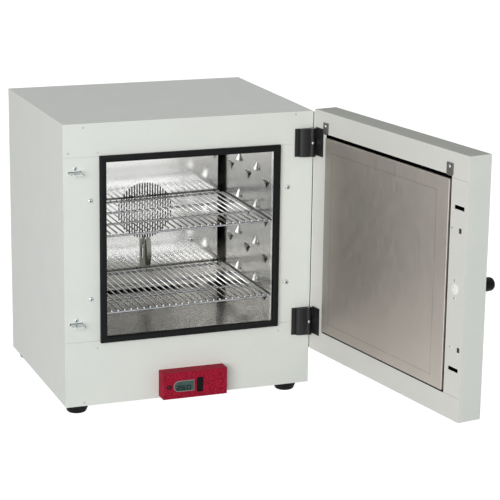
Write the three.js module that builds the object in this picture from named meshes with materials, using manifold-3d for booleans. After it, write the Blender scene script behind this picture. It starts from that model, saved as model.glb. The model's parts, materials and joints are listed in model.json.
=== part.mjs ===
// A bench drying cabinet with its door open: sheet steel body, stainless chamber with a fan behind a
// slotted baffle, two wire shelves, a hinged door with a turning latch, and a small control box.
// Millimetres, +Z up, +X to the right, -Y to the front. The origin is the middle of the base's underside.
import * as THREE from "three";
import { mergeVertices } from "three/addons/utils/BufferGeometryUtils.js";
import Module from "manifold-3d";

const wasm = await Module();
wasm.setup();

// Clearances and small shared sizes
const gap = 0.3;
const overrun = 2;
const curveSides = 24;
const smallSides = 12;
const wireSides = 6;
const rodSides = 8;
const tubeDivisions = 4;
const leafDivisions = 10;
const degree = Math.PI / 180;

// Body: what its walls take up round the chamber
const sideWall = 88.8;
const roofWall = 81;
const rearSpace = 75;
const sheet = 2;
const railSeamBelow = 9;
const railSeamAbove = 12;

// Chamber
const chamberWidth = 368.4;
const chamberHeight = 370;
const chamberBottom = 149;
const chamberDepth = 375;
const linerSheet = 1.2;

// Pressed shelf tabs
const tabRowPitch = 82.4;
const topTabDrop = 73.5;
const leftTabDrop = 6.5;
const tabWidth = 33;
const tabTall = 17;
const tabProud = 6;
const tabSlot = 14;
const lowerTabFirst = 41.6;
const tabPitch = 106.5;
const lowerTabs = 3;
const upperTabs = 2;

// Insulation
const blanket = 48;
const blanketBehind = 27.4;
const blanketFront = 8;
const blanketHole = 9;

// Baffle and grille
const plenumDepth = 65;
const baffleEdgeGap = 11.3;
const baffleFloorGap = 5.5;
const baffleFlange = 11;
const grilleRadius = 63.5;
const grillePitch = 6.05;
const grilleSlot = 3;
const grilleSlots = 21;
const baffleScrewOut = 110;
const baffleScrewDrop = 76;
const spacerRadius = 5;

// Fan, motor and heater
const fanRadius = 78;
const fanPlate = 1.5;
const fanBladeDepth = 20;
const fanBladeInner = 36;
const fanBladeSheet = 1.5;
const fanBlades = 12;
const hubRadius = 12;
const noseRadius = 30;
const noseSetback = 28;
const shaftRadius = 3;
const nutRadius = 9;
const nutThick = 6;
const motorRadius = 39;
const motorLength = 34;
const motorBore = 20;
const bracketWidth = 120;
const bracketHeight = 84;
const bracketFlange = 14;
const heaterRadius = 92;
const heaterTube = 4;
const heaterSetback = 34;
const heaterLegGap = 26;
const heaterLegEnd = 3;
const heaterSteps = 60;
const heaterPoints = 28;
const heaterBend = 12;

// Temperature probe
const stripWidth = 25;
const stripHeight = 68;
const stripSheet = 1;
const leafWidth = 11;
const leafBow = 8;
const leafLength = 64;
const leafSheet = 0.8;
const probeRadius = 1.2;
const bulbRadius = 2.2;
const bulbLength = 26;
const probeBend = 7;
const probeAside = 6.25;
const probeSteps = 22;

// Gasket
const gasketWidth = 13.2;
const gasketProud = 11;

// Shelves
const shelfSideGap = 2.7;
const shelfBackGap = 12;
const shelfFront = 8;
const frameWireRadius = 2.5;
const topWireRadius = 1.6;
const wirePitch = 14.1;
const wireWeld = 0.5;
const crossWires = 4;
const upperShelfRow = 1;

// Door and hinge line
const doorGap = 15;
const doorThickness = 53;
const doorBottom = 77;
const doorOver = 4;
const doorSheet = 1.5;
const doorAngle = 99;
const hingeInset = 4.5;
const hingeBarrelRadius = 7;
const hingePinRadius = 2.5;
const hingeHeight = 60;
const hingeKnuckleShare = 0.3;
const upperHingeDrop = 66.5;
const lowerHingeMiddle = 141;
const bodyLeafReach = 37;
const bodyLeafFlange = 2.7;
const bodyLeafFlangeWidth = 8;
const bodyLeafCrest = 11;
const bodyLeafCurve = 17;
const doorLeafReach = 32;
const doorLeafPlate = 2;
const doorLeafShift = 3.5;
const pinHeadRadius = 4;
const pinHeadThick = 1.5;

// Door inner panel
const panelHingeMargin = 49.5;
const panelFreeMargin = 55.5;
const panelTopMargin = 53.5;
const panelLowMargin = 52;
const panelProud = 3.5;
const panelReturn = 6;
const panelEdgeGap = 3.5;
const panelTopGap = 7.5;
const panelSheet = 1.2;
const clipWidth = 18;
const clipHeight = 25;
const clipThick = 3;
const clipAbove = 1.5;
const clipHingeInset = 47;
const clipFreeInset = 58;

// Latch
const latchInset = 24.6;
const strikeUpperDrop = 100;
const strikeLower = 180;
const strikeWidth = 26;
const strikePlate = 3;
const strikeProud = 27.5;
const strikeFlange = 20;
const strikeSlotGap = 1;
const strikeHoleWide = 8;
const strikeHoleLong = 6;
const strikeNose = 2.5;
const latchSlotWidth = 32;
const latchSlotHeight = 8;
const knobInset = 27.9;
const knobRadius = 16;
const knobThick = 24;
const knobNeckRadius = 9;
const knobNeck = 4;
const knobFace = 13;
const knobFaceRound = 4;
const knobSkirt = 5;
const knobSkirtRadius = 14.5;
const knobSkirtFlare = 2;
const spindleRadius = 4;
const spindleInKnob = 14;
const bushRadius = 11;
const bushFlange = 2.5;
const bushBody = 7.5;
const bushDepth = 9;
const crankRadius = 10;
const crankAngle = 60;
const crankThick = 3;
const crankWidth = 7;
const crankPinRadius = 1.5;
const crankPinPlay = 0.4;
const crankSlotMargin = 2.4;
const latchBarSheet = 3;
const latchBarWidth = 8;
const latchBarClear = 1.5;
const latchFinger = 3;
const latchPin = 4;
const latchPinPlay = 0.5;
const latchPinReach = 8.3;
const latchBarEnd = 12;
const guideWidth = 12;
const guideHeight = 16;
const guideOffset = 80;
const latchCavity = 52;

// Screws and feet
const screwHeadRadius = 5.2;
const screwHead = 2.8;
const screwRimShare = 0.45;
const screwCrownShare = 0.6;
const screwShank = 2;
const screwLength = 5;
const frameScrewInset = 56.2;
const frameScrewDrop = 161;
const frameScrewLow = 230.7;
const footRadius = 24.5;
const footBottomRadius = 22;
const footHeight = 18;
const footSkirt = 11;
const footInsetLeft = 31;
const footInsetRight = 44;
const footFront = 28;
const footBack = 30;

// Controls
const housingLeft = 69.4;
const housingRight = 73.8;
const housingBottom = 4.3;
const housingTop = 62.5;
const housingProud = 30.4;
const housingWall = 2.5;
const displayLeft = 46.4;
const displayRight = 0.2;
const displayMiddle = 31.5;
const displayHeight = 24.5;
const displayProud = 0.6;
const lampPlace = 56.1;
const lampRadius = 4;
const rockerPlace = 12.5;
const rockerWidth = 10.6;
const rockerHeight = 29;
const rockerDepth = 9;
const rockerProud = 3;
const rockerAngle = 8;
const rockerEndGap = 1.2;
const rockerUnder = 3;
const rockerHeelShare = 0.7;
const switchRim = 1.5;
const switchRimProud = 1;
const boardWidth = 126;
const boardHeight = 46;
const boardThick = 1.6;
const boardPost = 6;
const boardSetback = 6;

// Rear
const ventSlots = 8;
const ventSlotLength = 90;
const ventSlotHeight = 4;
const ventPitch = 10;
const inletWidth = 27;
const inletHeight = 20;
const inletDepth = 18;
const inletRim = 3;
const inletProud = 2;
const inletInset = 73;
const inletMiddle = 45;
const inletWall = 2;
const bladeWide = 4;
const bladeThick = 2;
const bladePitch = 7;

// Places and sizes worked out from the sizes above
const bodyWidth = chamberWidth + 2 * sideWall;
const bodyDepth = chamberDepth + rearSpace;
const bodyHeight = chamberBottom + chamberHeight + roofWall;
const halfWidth = bodyWidth / 2;
const inletPlace = halfWidth - inletInset;
const halfChamber = chamberWidth / 2;
const chamberTop = chamberBottom + chamberHeight;
const railBottomTop = chamberBottom - railSeamBelow;
const railTopBottom = chamberTop + railSeamAbove;
const tabRows = 1 + Math.floor((chamberHeight - topTabDrop - tabTall) / tabRowPitch);
const baffleFront = chamberDepth - plenumDepth;
const shelfWidth = chamberWidth - 2 * shelfSideGap;
const shelfDepth = baffleFront - shelfBackGap - shelfFront;
const sideWires = Math.floor((shelfWidth / 2 - 2 * frameWireRadius) / wirePitch);
const lowerShelfRow = tabRows - 1;
const doorTop = bodyHeight + doorOver;
const upperHingeMiddle = bodyHeight - upperHingeDrop;
const panelWidth = bodyWidth - panelHingeMargin - panelFreeMargin;
const panelHeight = doorTop - doorBottom - panelTopMargin - panelLowMargin;
const panelMiddleOffset = (panelFreeMargin - panelHingeMargin) / 2;
const panelMiddle = doorBottom + panelLowMargin + panelHeight / 2;
const strikeUpper = bodyHeight - strikeUpperDrop;
const knobHeight = (strikeUpper + strikeLower) / 2;
const frameScrewHigh = bodyHeight - frameScrewDrop;
const linerOuter = halfChamber + linerSheet;
const gasketOuter = halfChamber + gasketWidth;
const gasketLow = chamberBottom - gasketWidth;
const gasketHigh = chamberTop + gasketWidth;
const fanMiddle = chamberBottom + chamberHeight / 2;
const linerBack = chamberDepth + gap + linerSheet;
const blanketBack = linerBack + gap + blanketBehind;
const hingeX = halfWidth - hingeInset;
const hingeY = -doorGap / 2;
const doorInner = -doorGap;
const doorOuter = -doorGap - doorThickness;
const latchX = -halfWidth + latchInset;
const knobX = -halfWidth + knobInset;
const barFront = -strikeProud - latchBarClear - latchBarSheet;
const crankRise = crankRadius * Math.sin((crankAngle / 2) * degree);
const latchTravel = 2 * crankRise;

// A geometry as a closed solid that can be joined and cut.
function solid(geometry) {
  const bare = geometry.index ? geometry.toNonIndexed() : geometry.clone();
  bare.deleteAttribute("normal");
  bare.deleteAttribute("uv");
  const merged = mergeVertices(bare);
  return new wasm.Manifold(
    new wasm.Mesh({
      numProp: 3,
      vertProperties: merged.attributes.position.array,
      triVerts: new Uint32Array(merged.index.array),
    }),
  );
}

// A joined or cut solid as a geometry again.
function surface(body) {
  const mesh = body.getMesh();
  const geometry = new THREE.BufferGeometry();
  geometry.setAttribute("position", new THREE.BufferAttribute(mesh.vertProperties, mesh.numProp));
  geometry.setIndex(new THREE.BufferAttribute(mesh.triVerts, 1));
  const flat = geometry.toNonIndexed();
  flat.computeVertexNormals();
  return flat;
}

const joined = (first, ...rest) => rest.reduce((whole, piece) => whole.add(solid(piece)), solid(first));
const cut = (whole, ...tools) => tools.reduce((left, tool) => left.subtract(solid(tool)), whole);

// A block between two corners.
function block(low, high) {
  const size = high.map((value, i) => value - low[i]);
  const middle = high.map((value, i) => (value + low[i]) / 2);
  return new THREE.BoxGeometry(...size).translate(...middle);
}

// A round bar along x, y or z, from one place on that axis to another.
function bar(axis, radius, from, to, acrossA, acrossB, sides = smallSides, endRadius = radius) {
  const rod = new THREE.CylinderGeometry(endRadius, radius, to - from, sides);
  const middle = (from + to) / 2;
  if (axis === "x") return rod.rotateZ(-Math.PI / 2).translate(middle, acrossA, acrossB);
  if (axis === "y") return rod.translate(acrossA, middle, acrossB);
  return rod.rotateX(Math.PI / 2).translate(acrossA, acrossB, middle);
}

// A flat outline in x and z.
function outline(points) {
  return new THREE.Shape(points.map(([x, z]) => new THREE.Vector2(x, z)));
}

function rectangle(left, right, low, high) {
  return outline([
    [left, low],
    [right, low],
    [right, high],
    [left, high],
  ]);
}

function roundHole(x, z, radius) {
  return new THREE.Path().absarc(x, z, radius, 0, 2 * Math.PI, true);
}

// A plate that stands upright: its outline lies in x and z, and its front is at the given y.
function plate(shape, front, thickness, divisions = smallSides / 2) {
  const form = { depth: thickness, bevelEnabled: false, curveSegments: divisions };
  return new THREE.ExtrudeGeometry(shape, form).rotateX(Math.PI / 2).translate(0, front + thickness, 0);
}

function outerWrap() {
  const inner = halfWidth - sheet;
  const shape = outline([
    [-halfWidth, 0],
    [-inner, 0],
    [-inner, bodyHeight - sheet],
    [inner, bodyHeight - sheet],
    [inner, 0],
    [halfWidth, 0],
    [halfWidth, bodyHeight],
    [-halfWidth, bodyHeight],
  ]);
  return plate(shape, sheet + gap, bodyDepth - sheet - gap);
}

function basePanel() {
  const half = halfWidth - sheet - gap;
  return block([-half, sheet + gap, 0], [half, bodyDepth - sheet - gap, sheet]);
}

// The opening that the liner's walls pass through.
const frameOpening = linerOuter + gap;

function frontStile(side) {
  const inner = side * frameOpening;
  const outer = side * halfWidth;
  const low = railBottomTop + gap / 2;
  const high = railTopBottom - gap / 2;
  const shape = rectangle(Math.min(inner, outer), Math.max(inner, outer), low, high);
  for (const z of [frameScrewHigh, frameScrewLow])
    shape.holes.push(roundHole(side * (halfWidth - frameScrewInset), z, screwShank + gap));
  if (side < 0)
    for (const z of [strikeUpper, strikeLower]) {
      const half = strikeWidth / 2 + strikeSlotGap;
      const tall = strikePlate / 2 + strikeSlotGap;
      shape.holes.push(rectangle(latchX - half, latchX + half, z - tall, z + tall));
    }
  return plate(shape, 0, sheet);
}

function frontRailTop() {
  const seam = railTopBottom + gap / 2;
  const over = chamberTop + linerSheet + gap;
  const shape = outline([
    [-halfWidth, seam],
    [-frameOpening, seam],
    [-frameOpening, over],
    [frameOpening, over],
    [frameOpening, seam],
    [halfWidth, seam],
    [halfWidth, bodyHeight],
    [-halfWidth, bodyHeight],
  ]);
  return plate(shape, 0, sheet);
}

function frontRailBottom() {
  const seam = railBottomTop - gap / 2;
  const under = chamberBottom - linerSheet - gap;
  const shape = outline([
    [-halfWidth, 0],
    [halfWidth, 0],
    [halfWidth, seam],
    [frameOpening, seam],
    [frameOpening, under],
    [-frameOpening, under],
    [-frameOpening, seam],
    [-halfWidth, seam],
  ]);
  return plate(shape, 0, sheet);
}

function rearCover() {
  const half = halfWidth - sheet - gap;
  const shape = rectangle(-half, half, 0, bodyHeight - sheet - gap);
  for (let i = 0; i < ventSlots; i++) {
    const z = fanMiddle + (i - (ventSlots - 1) / 2) * ventPitch;
    const tall = ventSlotHeight / 2;
    shape.holes.push(rectangle(-ventSlotLength / 2, ventSlotLength / 2, z - tall, z + tall));
  }
  const wide = inletWidth / 2 + gap;
  const high = inletHeight / 2 + gap;
  shape.holes.push(rectangle(-inletPlace - wide, -inletPlace + wide, inletMiddle - high, inletMiddle + high));
  return plate(shape, bodyDepth - sheet, sheet);
}

// A pressed tab on the right wall: half a cone, flat on top or turned over.
function tab(y, edge, turned) {
  const cone = new THREE.ConeGeometry(1, 1, smallSides).translate(0, 1 / 2, 0);
  cone.rotateX((turned ? 1 : -1) * (Math.PI / 2)).scale(tabProud, tabWidth / 2, tabTall);
  const reach = tabTall + overrun;
  const keep = block([-reach, -reach, -reach], [linerSheet / 2, reach, reach]);
  return solid(cone)
    .intersect(solid(keep))
    .translate([halfChamber, y, edge]);
}

// The left wall's tabs sit a little lower than the right wall's.
const sideDrop = (side) => (side < 0 ? leftTabDrop : 0);
const tabTop = (row, side) => chamberTop - topTabDrop - row * tabRowPitch - sideDrop(side);

function linerSide(side) {
  const low = chamberBottom - linerSheet;
  let wall = solid(block([halfChamber, 0, low], [linerOuter, chamberDepth, chamberTop + linerSheet]));
  for (let row = 0; row < tabRows; row++) {
    for (let i = 0; i < lowerTabs; i++)
      wall = wall.add(tab(lowerTabFirst + i * tabPitch, tabTop(row, side), false));
    for (let i = 0; i < upperTabs; i++)
      wall = wall.add(tab(lowerTabFirst + (i + 0.5) * tabPitch, tabTop(row, side) + tabSlot, true));
  }
  return surface(side < 0 ? wall.mirror([1, 0, 0]) : wall);
}

function linerLevel(low) {
  const half = halfChamber - gap;
  return block([-half, 0, low], [half, chamberDepth, low + linerSheet]);
}

function linerEnd() {
  const shape = rectangle(-linerOuter, linerOuter, chamberBottom - linerSheet, chamberTop + linerSheet);
  shape.holes.push(roundHole(0, fanMiddle, shaftRadius + 2 * gap));
  for (const side of [-1, 1])
    shape.holes.push(roundHole((side * heaterLegGap) / 2, fanMiddle + heaterRadius, heaterTube + gap));
  const front = chamberDepth + gap;
  let back = solid(plate(shape, front, linerSheet));
  for (const side of [-1, 1]) {
    const z = fanMiddle - baffleScrewDrop;
    const from = baffleFront + linerSheet + gap;
    back = back.add(solid(bar("y", spacerRadius, from, front + linerSheet / 2, side * baffleScrewOut, z)));
    back = cut(back, bar("y", screwShank + gap, from - overrun, front, side * baffleScrewOut, z));
  }
  return surface(back);
}

function insulation() {
  const x = linerOuter + gap;
  const low = chamberBottom - linerSheet - gap;
  const high = chamberTop + linerSheet + gap;
  const around = [-x - blanket, blanketFront, low - blanket];
  let body = solid(block(around, [x + blanket, blanketBack, high + blanket]));
  body = cut(body, block([-x, blanketFront - overrun, low], [x, linerBack + gap, high]));
  body = cut(body, bar("y", blanketHole, chamberDepth, blanketBack + overrun, 0, fanMiddle));
  for (const side of [-1, 1]) {
    const leg = (side * heaterLegGap) / 2;
    const height = fanMiddle + heaterRadius;
    body = cut(body, bar("y", heaterTube + gap, chamberDepth, blanketBack + overrun, leg, height, rodSides));
  }
  return surface(body);
}

function airBaffle() {
  const half = halfChamber - baffleEdgeGap;
  const low = chamberBottom + baffleFloorGap;
  const high = chamberTop - gap;
  const shape = rectangle(-half, half, low, high);
  for (let i = 0; i < grilleSlots; i++) {
    const x = (i - (grilleSlots - 1) / 2) * grillePitch;
    const tall = Math.sqrt(grilleRadius ** 2 - x ** 2);
    const wide = grilleSlot / 2;
    shape.holes.push(rectangle(x - wide, x + wide, fanMiddle - tall, fanMiddle + tall));
  }
  for (const side of [-1, 1])
    shape.holes.push(roundHole(side * baffleScrewOut, fanMiddle - baffleScrewDrop, screwShank + gap));
  const back = baffleFront + linerSheet;
  const deep = back + baffleFlange;
  return surface(
    joined(
      plate(shape, baffleFront, linerSheet),
      block([-half, baffleFront, low], [-half + linerSheet, deep, high]),
      block([half - linerSheet, baffleFront, low], [half, deep, high]),
      block([-half, baffleFront, high - linerSheet], [half, deep, high]),
    ),
  );
}

// A pan head screw that points to the back, its head seated on the given face.
function panScrew(x, face, z) {
  const profile = [
    [0, 0],
    [screwShank, 0],
    [screwShank, screwLength],
    [screwHeadRadius, screwLength],
    [screwHeadRadius, screwLength + screwHead * screwRimShare],
    [screwHeadRadius * screwCrownShare, screwLength + screwHead],
    [0, screwLength + screwHead],
  ].map(([r, y]) => new THREE.Vector2(r, y));
  const screw = new THREE.LatheGeometry(profile, smallSides).rotateX(Math.PI);
  return screw.translate(x, face - gap + screwLength, z);
}

function impeller() {
  const plateFront = baffleFront + noseSetback + fanBladeDepth;
  const nose = baffleFront + noseSetback - fanPlate;
  const pieces = [
    bar("y", fanRadius, plateFront, plateFront + fanPlate, 0, fanMiddle, curveSides),
    bar("y", hubRadius, nose, plateFront + fanPlate, 0, fanMiddle, smallSides),
    bar("y", noseRadius, nose, nose + fanPlate, 0, fanMiddle, curveSides),
  ];
  for (let i = 0; i < fanBlades; i++) {
    const half = fanBladeSheet / 2;
    const front = plateFront - fanBladeDepth;
    const blade = block([fanBladeInner, front, -half], [fanRadius - half, plateFront + fanPlate / 2, half]);
    pieces.push(blade.rotateY((2 * Math.PI * i) / fanBlades).translate(0, 0, fanMiddle));
  }
  const bore = bar("y", shaftRadius + gap, nose - overrun, plateFront + fanPlate + overrun, 0, fanMiddle);
  return surface(cut(joined(...pieces), bore));
}

const bracketFront = blanketBack + gap;
const motorFront = bracketFront + sheet + gap;

function fanShaft() {
  const nose = baffleFront + noseSetback - fanPlate - gap;
  return surface(
    joined(
      bar("y", shaftRadius, nose - nutThick, motorFront + motorBore - gap, 0, fanMiddle),
      bar("y", nutRadius, nose - nutThick, nose, 0, fanMiddle, wireSides),
    ),
  );
}

function fanMotor() {
  const can = solid(bar("y", motorRadius, motorFront, motorFront + motorLength, 0, fanMiddle, curveSides));
  const bore = bar("y", shaftRadius + gap, motorFront - overrun, motorFront + motorBore, 0, fanMiddle);
  return surface(cut(can, bore));
}

function motorBracket() {
  const half = bracketWidth / 2;
  const rear = bodyDepth - sheet - gap;
  const section = outline([
    [-half - bracketFlange, rear - sheet],
    [-half, rear - sheet],
    [-half, bracketFront],
    [half, bracketFront],
    [half, rear - sheet],
    [half + bracketFlange, rear - sheet],
    [half + bracketFlange, rear],
    [half - sheet, rear],
    [half - sheet, bracketFront + sheet],
    [-half + sheet, bracketFront + sheet],
    [-half + sheet, rear],
    [-half - bracketFlange, rear],
  ]);
  const form = { depth: bracketHeight, bevelEnabled: false };
  const channel = new THREE.ExtrudeGeometry(section, form).translate(0, 0, fanMiddle - bracketHeight / 2);
  const bore = bar("y", shaftRadius + gap, bracketFront - overrun, motorFront, 0, fanMiddle);
  return surface(cut(solid(channel), bore));
}

// A closed ring broken at the top, where both ends turn back through the liner.
function heater() {
  const y = baffleFront + heaterSetback;
  const half = heaterLegGap / 2;
  const start = Math.asin(half / heaterRadius);
  const legEnd = linerBack + heaterLegEnd;
  const points = [];
  points.push([half, legEnd], [half, (legEnd + y + heaterBend) / 2], [half, y + heaterBend]);
  const route = points.map(([x, back]) => new THREE.Vector3(x, back, heaterRadius));
  for (let i = 1; i < heaterPoints; i++) {
    const angle = start + ((2 * Math.PI - 2 * start) * i) / heaterPoints;
    route.push(new THREE.Vector3(heaterRadius * Math.sin(angle), y, heaterRadius * Math.cos(angle)));
  }
  for (const [x, back] of points.reverse()) route.push(new THREE.Vector3(-x, back, heaterRadius));
  const path = new THREE.CatmullRomCurve3(route);
  const section = new THREE.Shape().absarc(0, 0, heaterTube, 0, 2 * Math.PI);
  const form = { steps: heaterSteps, extrudePath: path, curveSegments: tubeDivisions, bevelEnabled: false };
  return new THREE.ExtrudeGeometry(section, form).translate(0, 0, fanMiddle);
}

// The flat strip under the grille, with a leaf that bows forward from it.
function sensorStrip() {
  const top = fanMiddle - grilleRadius - gap;
  const back = baffleFront - gap;
  const flat = block([-stripWidth / 2, back - stripSheet, top - stripHeight], [stripWidth / 2, back, top]);
  const bowOuter = [];
  const bowInner = [];
  for (let i = 0; i <= leafDivisions; i++) {
    const along = i / leafDivisions;
    const out = leafBow * Math.sin(Math.PI * along);
    bowOuter.push([out + leafSheet, -along * leafLength]);
    bowInner.unshift([out, -along * leafLength]);
  }
  const leaf = new THREE.ExtrudeGeometry(outline([...bowOuter, ...bowInner]), {
    depth: leafWidth,
    bevelEnabled: false,
  });
  leaf.rotateX(Math.PI / 2).rotateZ(-Math.PI / 2);
  leaf.translate(stripWidth / 2, back - stripSheet / 2, top);
  return surface(joined(flat, leaf));
}

// A thin sheathed sensor that leaves the middle slot of the grille and hangs in front of the strip.
function temperatureProbe() {
  const face = baffleFront - gap - stripSheet - gap - bulbRadius;
  const top = fanMiddle - grilleRadius;
  const x = -probeAside;
  const route = [
    [0, baffleFront + linerSheet + probeBend, top + probeBend],
    [0, baffleFront, top + probeBend],
    [0, face - bulbRadius, top + probeBend / 2],
    [x / 2, face - bulbRadius, top - probeBend],
    [x, face, top - 2 * probeBend],
    [x, face, top - 3 * probeBend],
  ].map((place) => new THREE.Vector3(...place));
  const section = new THREE.Shape().absarc(0, 0, probeRadius, 0, 2 * Math.PI);
  const path = new THREE.CatmullRomCurve3(route);
  const form = { steps: probeSteps, extrudePath: path, curveSegments: tubeDivisions, bevelEnabled: false };
  const tube = new THREE.ExtrudeGeometry(section, form);
  const end = top - 3 * probeBend + probeRadius;
  return surface(joined(tube, bar("z", bulbRadius, end - bulbLength, end, x, face, rodSides)));
}

function doorGasket() {
  const shape = rectangle(-gasketOuter, gasketOuter, gasketLow, gasketHigh);
  shape.holes.push(rectangle(-halfChamber, halfChamber, chamberBottom, chamberTop));
  return plate(shape, -gap - gasketProud, gasketProud);
}

// A shelf of wires laid from front to back on a frame of thicker wire, leaning down to the left.
function wireShelf(row) {
  const rest = tabTop(row, 1) + gap + frameWireRadius;
  const left = -shelfWidth / 2 + frameWireRadius;
  const front = shelfFront + frameWireRadius;
  const back = shelfFront + shelfDepth - frameWireRadius;
  const pieces = [];
  for (const x of [left, -left]) pieces.push(bar("y", frameWireRadius, front, back, x, rest, wireSides));
  for (let i = 0; i < crossWires; i++) {
    const y = front + ((back - front) * i) / (crossWires - 1);
    pieces.push(bar("x", frameWireRadius, left, -left, y, rest, wireSides));
  }
  for (const x of [left, -left])
    for (const y of [front, back])
      pieces.push(bar("z", frameWireRadius, rest - frameWireRadius, rest + frameWireRadius, x, y, rodSides));
  const over = rest + frameWireRadius + topWireRadius - wireWeld;
  for (let i = -sideWires; i <= sideWires; i++) {
    const x = i * wirePitch;
    pieces.push(bar("y", topWireRadius, front - topWireRadius, back + topWireRadius, x, over, wireSides));
  }
  const lean = THREE.MathUtils.radToDeg(Math.atan2(leftTabDrop, -2 * left));
  const level = joined(...pieces).translate([left, 0, -rest]);
  return surface(level.rotate([0, -lean, 0]).translate([-left, 0, rest]));
}

function strike(z) {
  const half = strikeWidth / 2;
  const low = z - strikePlate / 2;
  const high = z + strikePlate / 2;
  const nose = strikeNose;
  const tongue = new THREE.ExtrudeGeometry(
    outline([
      [latchX - half, sheet + gap],
      [latchX + half, sheet + gap],
      [latchX + half, -strikeProud + nose],
      [latchX + half - nose, -strikeProud],
      [latchX - half + nose, -strikeProud],
      [latchX - half, -strikeProud + nose],
    ].reverse()),
    { depth: strikePlate, bevelEnabled: false },
  ).translate(0, 0, low);
  const behind = sheet + gap;
  const flange = block([latchX - half, behind, low], [latchX + half, behind + sheet, low + strikeFlange]);
  const holeFront = -strikeProud + strikeNose;
  const wide = strikeHoleWide / 2;
  const hole = block(
    [latchX - wide, holeFront, low - overrun],
    [latchX + wide, holeFront + strikeHoleLong, high + overrun],
  );
  return surface(cut(joined(tongue, flange), hole));
}

function foot(x, y) {
  const profile = [
    [0, -footHeight],
    [footBottomRadius, -footHeight],
    [footRadius, footSkirt - footHeight],
    [footRadius, -gap],
    [0, -gap],
  ].map(([r, z]) => new THREE.Vector2(r, z));
  return new THREE.LatheGeometry(profile, curveSides).rotateX(Math.PI / 2).translate(x, y, 0);
}

// A leaf's plate with its knuckles and the bore for the pin. Knuckles are z ranges round the hinge line.
function hingeLeaf(section, low, knuckles, neckFront, neckBack, neckReach) {
  const form = { depth: hingeHeight, bevelEnabled: false, curveSegments: rodSides };
  const high = low + hingeHeight;
  let leaf = solid(new THREE.ExtrudeGeometry(section, form).translate(0, 0, low));
  const room = hingeBarrelRadius + 2 * gap;
  leaf = cut(leaf, bar("z", room, low - overrun, high + overrun, hingeX, hingeY, curveSides));
  for (const [start, end] of knuckles) {
    const neck = block([hingeX - neckReach, neckFront, start], [hingeX, neckBack, end]);
    leaf = leaf.add(solid(bar("z", hingeBarrelRadius, start, end, hingeX, hingeY, curveSides)));
    leaf = leaf.add(solid(neck));
  }
  return surface(cut(leaf, bar("z", hingePinRadius + gap, low - overrun, high + overrun, hingeX, hingeY)));
}

function knuckleEdges(middle) {
  const low = middle - hingeHeight / 2;
  const third = hingeHeight * hingeKnuckleShare;
  return [low, low + third, low + hingeHeight - third, low + hingeHeight];
}

// The leaf on the body: a thin flange, then a thick crowned front that ends in the barrel.
function bodyLeaf(middle) {
  const [low, lowEnd, highStart, high] = knuckleEdges(middle);
  const seat = -gap;
  const from = hingeX - bodyLeafReach;
  const rise = from + bodyLeafFlangeWidth;
  const crest = seat - bodyLeafCrest;
  const section = new THREE.Shape();
  section.moveTo(hingeX, seat);
  section.lineTo(from, seat);
  section.lineTo(from, seat - bodyLeafFlange);
  section.lineTo(rise, seat - bodyLeafFlange);
  section.quadraticCurveTo(rise, crest, rise + bodyLeafCurve, crest);
  section.lineTo(hingeX, crest);
  const ends = [
    [low, lowEnd],
    [highStart, high],
  ];
  return hingeLeaf(section, low, ends, crest, seat, 2 * hingeBarrelRadius);
}

// The leaf on the door: a thin plate that ends in the middle knuckle.
function doorLeaf(middle) {
  const [low, lowEnd, highStart] = knuckleEdges(middle);
  const seat = doorInner + gap;
  const section = rectangle(hingeX - doorLeafReach, hingeX, seat, seat + doorLeafPlate);
  const knuckle = [[lowEnd + gap, highStart - gap]];
  return hingeLeaf(section, low + doorLeafShift, knuckle, seat, seat + doorLeafPlate, 2 * hingeBarrelRadius);
}

function hingePin(middle) {
  const low = middle - hingeHeight / 2;
  const high = middle + hingeHeight / 2 + gap;
  return surface(
    joined(
      bar("z", hingePinRadius, low, high + pinHeadThick, hingeX, hingeY),
      bar("z", pinHeadRadius, high, high + pinHeadThick, hingeX, hingeY),
    ),
  );
}

function doorSkin() {
  const back = doorInner - doorSheet - gap;
  const outside = block([-halfWidth, doorOuter, doorBottom], [halfWidth, back, doorTop]);
  const inside = block(
    [-halfWidth + doorSheet, doorOuter + doorSheet, doorBottom + doorSheet],
    [halfWidth - doorSheet, back + overrun, doorTop - doorSheet],
  );
  const depth = doorOuter + 2 * doorSheet;
  const hole = bar("y", spindleRadius + gap, doorOuter - overrun, depth, knobX, knobHeight);
  return surface(cut(solid(outside), inside, hole));
}

const panelX = panelMiddleOffset;
const openHalfX = panelWidth / 2 + panelEdgeGap;
const openLow = panelMiddle - panelHeight / 2 - panelEdgeGap;
const openHigh = panelMiddle + panelHeight / 2 + panelTopGap;

function doorFrame() {
  const shape = rectangle(-halfWidth, halfWidth, doorBottom, doorTop);
  shape.holes.push(rectangle(panelX - openHalfX, panelX + openHalfX, openLow, openHigh));
  for (const z of [strikeUpper, strikeLower]) {
    const wide = latchSlotWidth / 2;
    const tall = latchSlotHeight / 2;
    shape.holes.push(rectangle(latchX - wide, latchX + wide, z - tall, z + tall));
  }
  shape.holes.push(roundHole(knobX, knobHeight, bushBody + gap));
  const back = doorInner - doorSheet;
  const frame = [plate(shape, back, doorSheet, curveSides / 2)];
  for (const side of [-1, 1]) {
    const z = knobHeight + side * guideOffset;
    const half = guideWidth / 2;
    const tall = guideHeight / 2;
    const reach = barFront + latchBarSheet + gap;
    frame.push(block([latchX - half, reach, z - tall], [latchX + half, back + doorSheet / 2, z + tall]));
  }
  return surface(joined(...frame));
}

function doorPanel() {
  const front = doorInner + panelProud;
  const halfX = panelWidth / 2;
  const halfZ = panelHeight / 2;
  const low = panelMiddle - halfZ;
  const high = panelMiddle + halfZ;
  const tray = block([panelX - halfX, front - panelReturn, low], [panelX + halfX, front, high]);
  const hollow = block(
    [panelX - halfX + panelSheet, front - panelReturn - overrun, low + panelSheet],
    [panelX + halfX - panelSheet, front - panelSheet, high - panelSheet],
  );
  return surface(cut(solid(tray), hollow));
}

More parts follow.
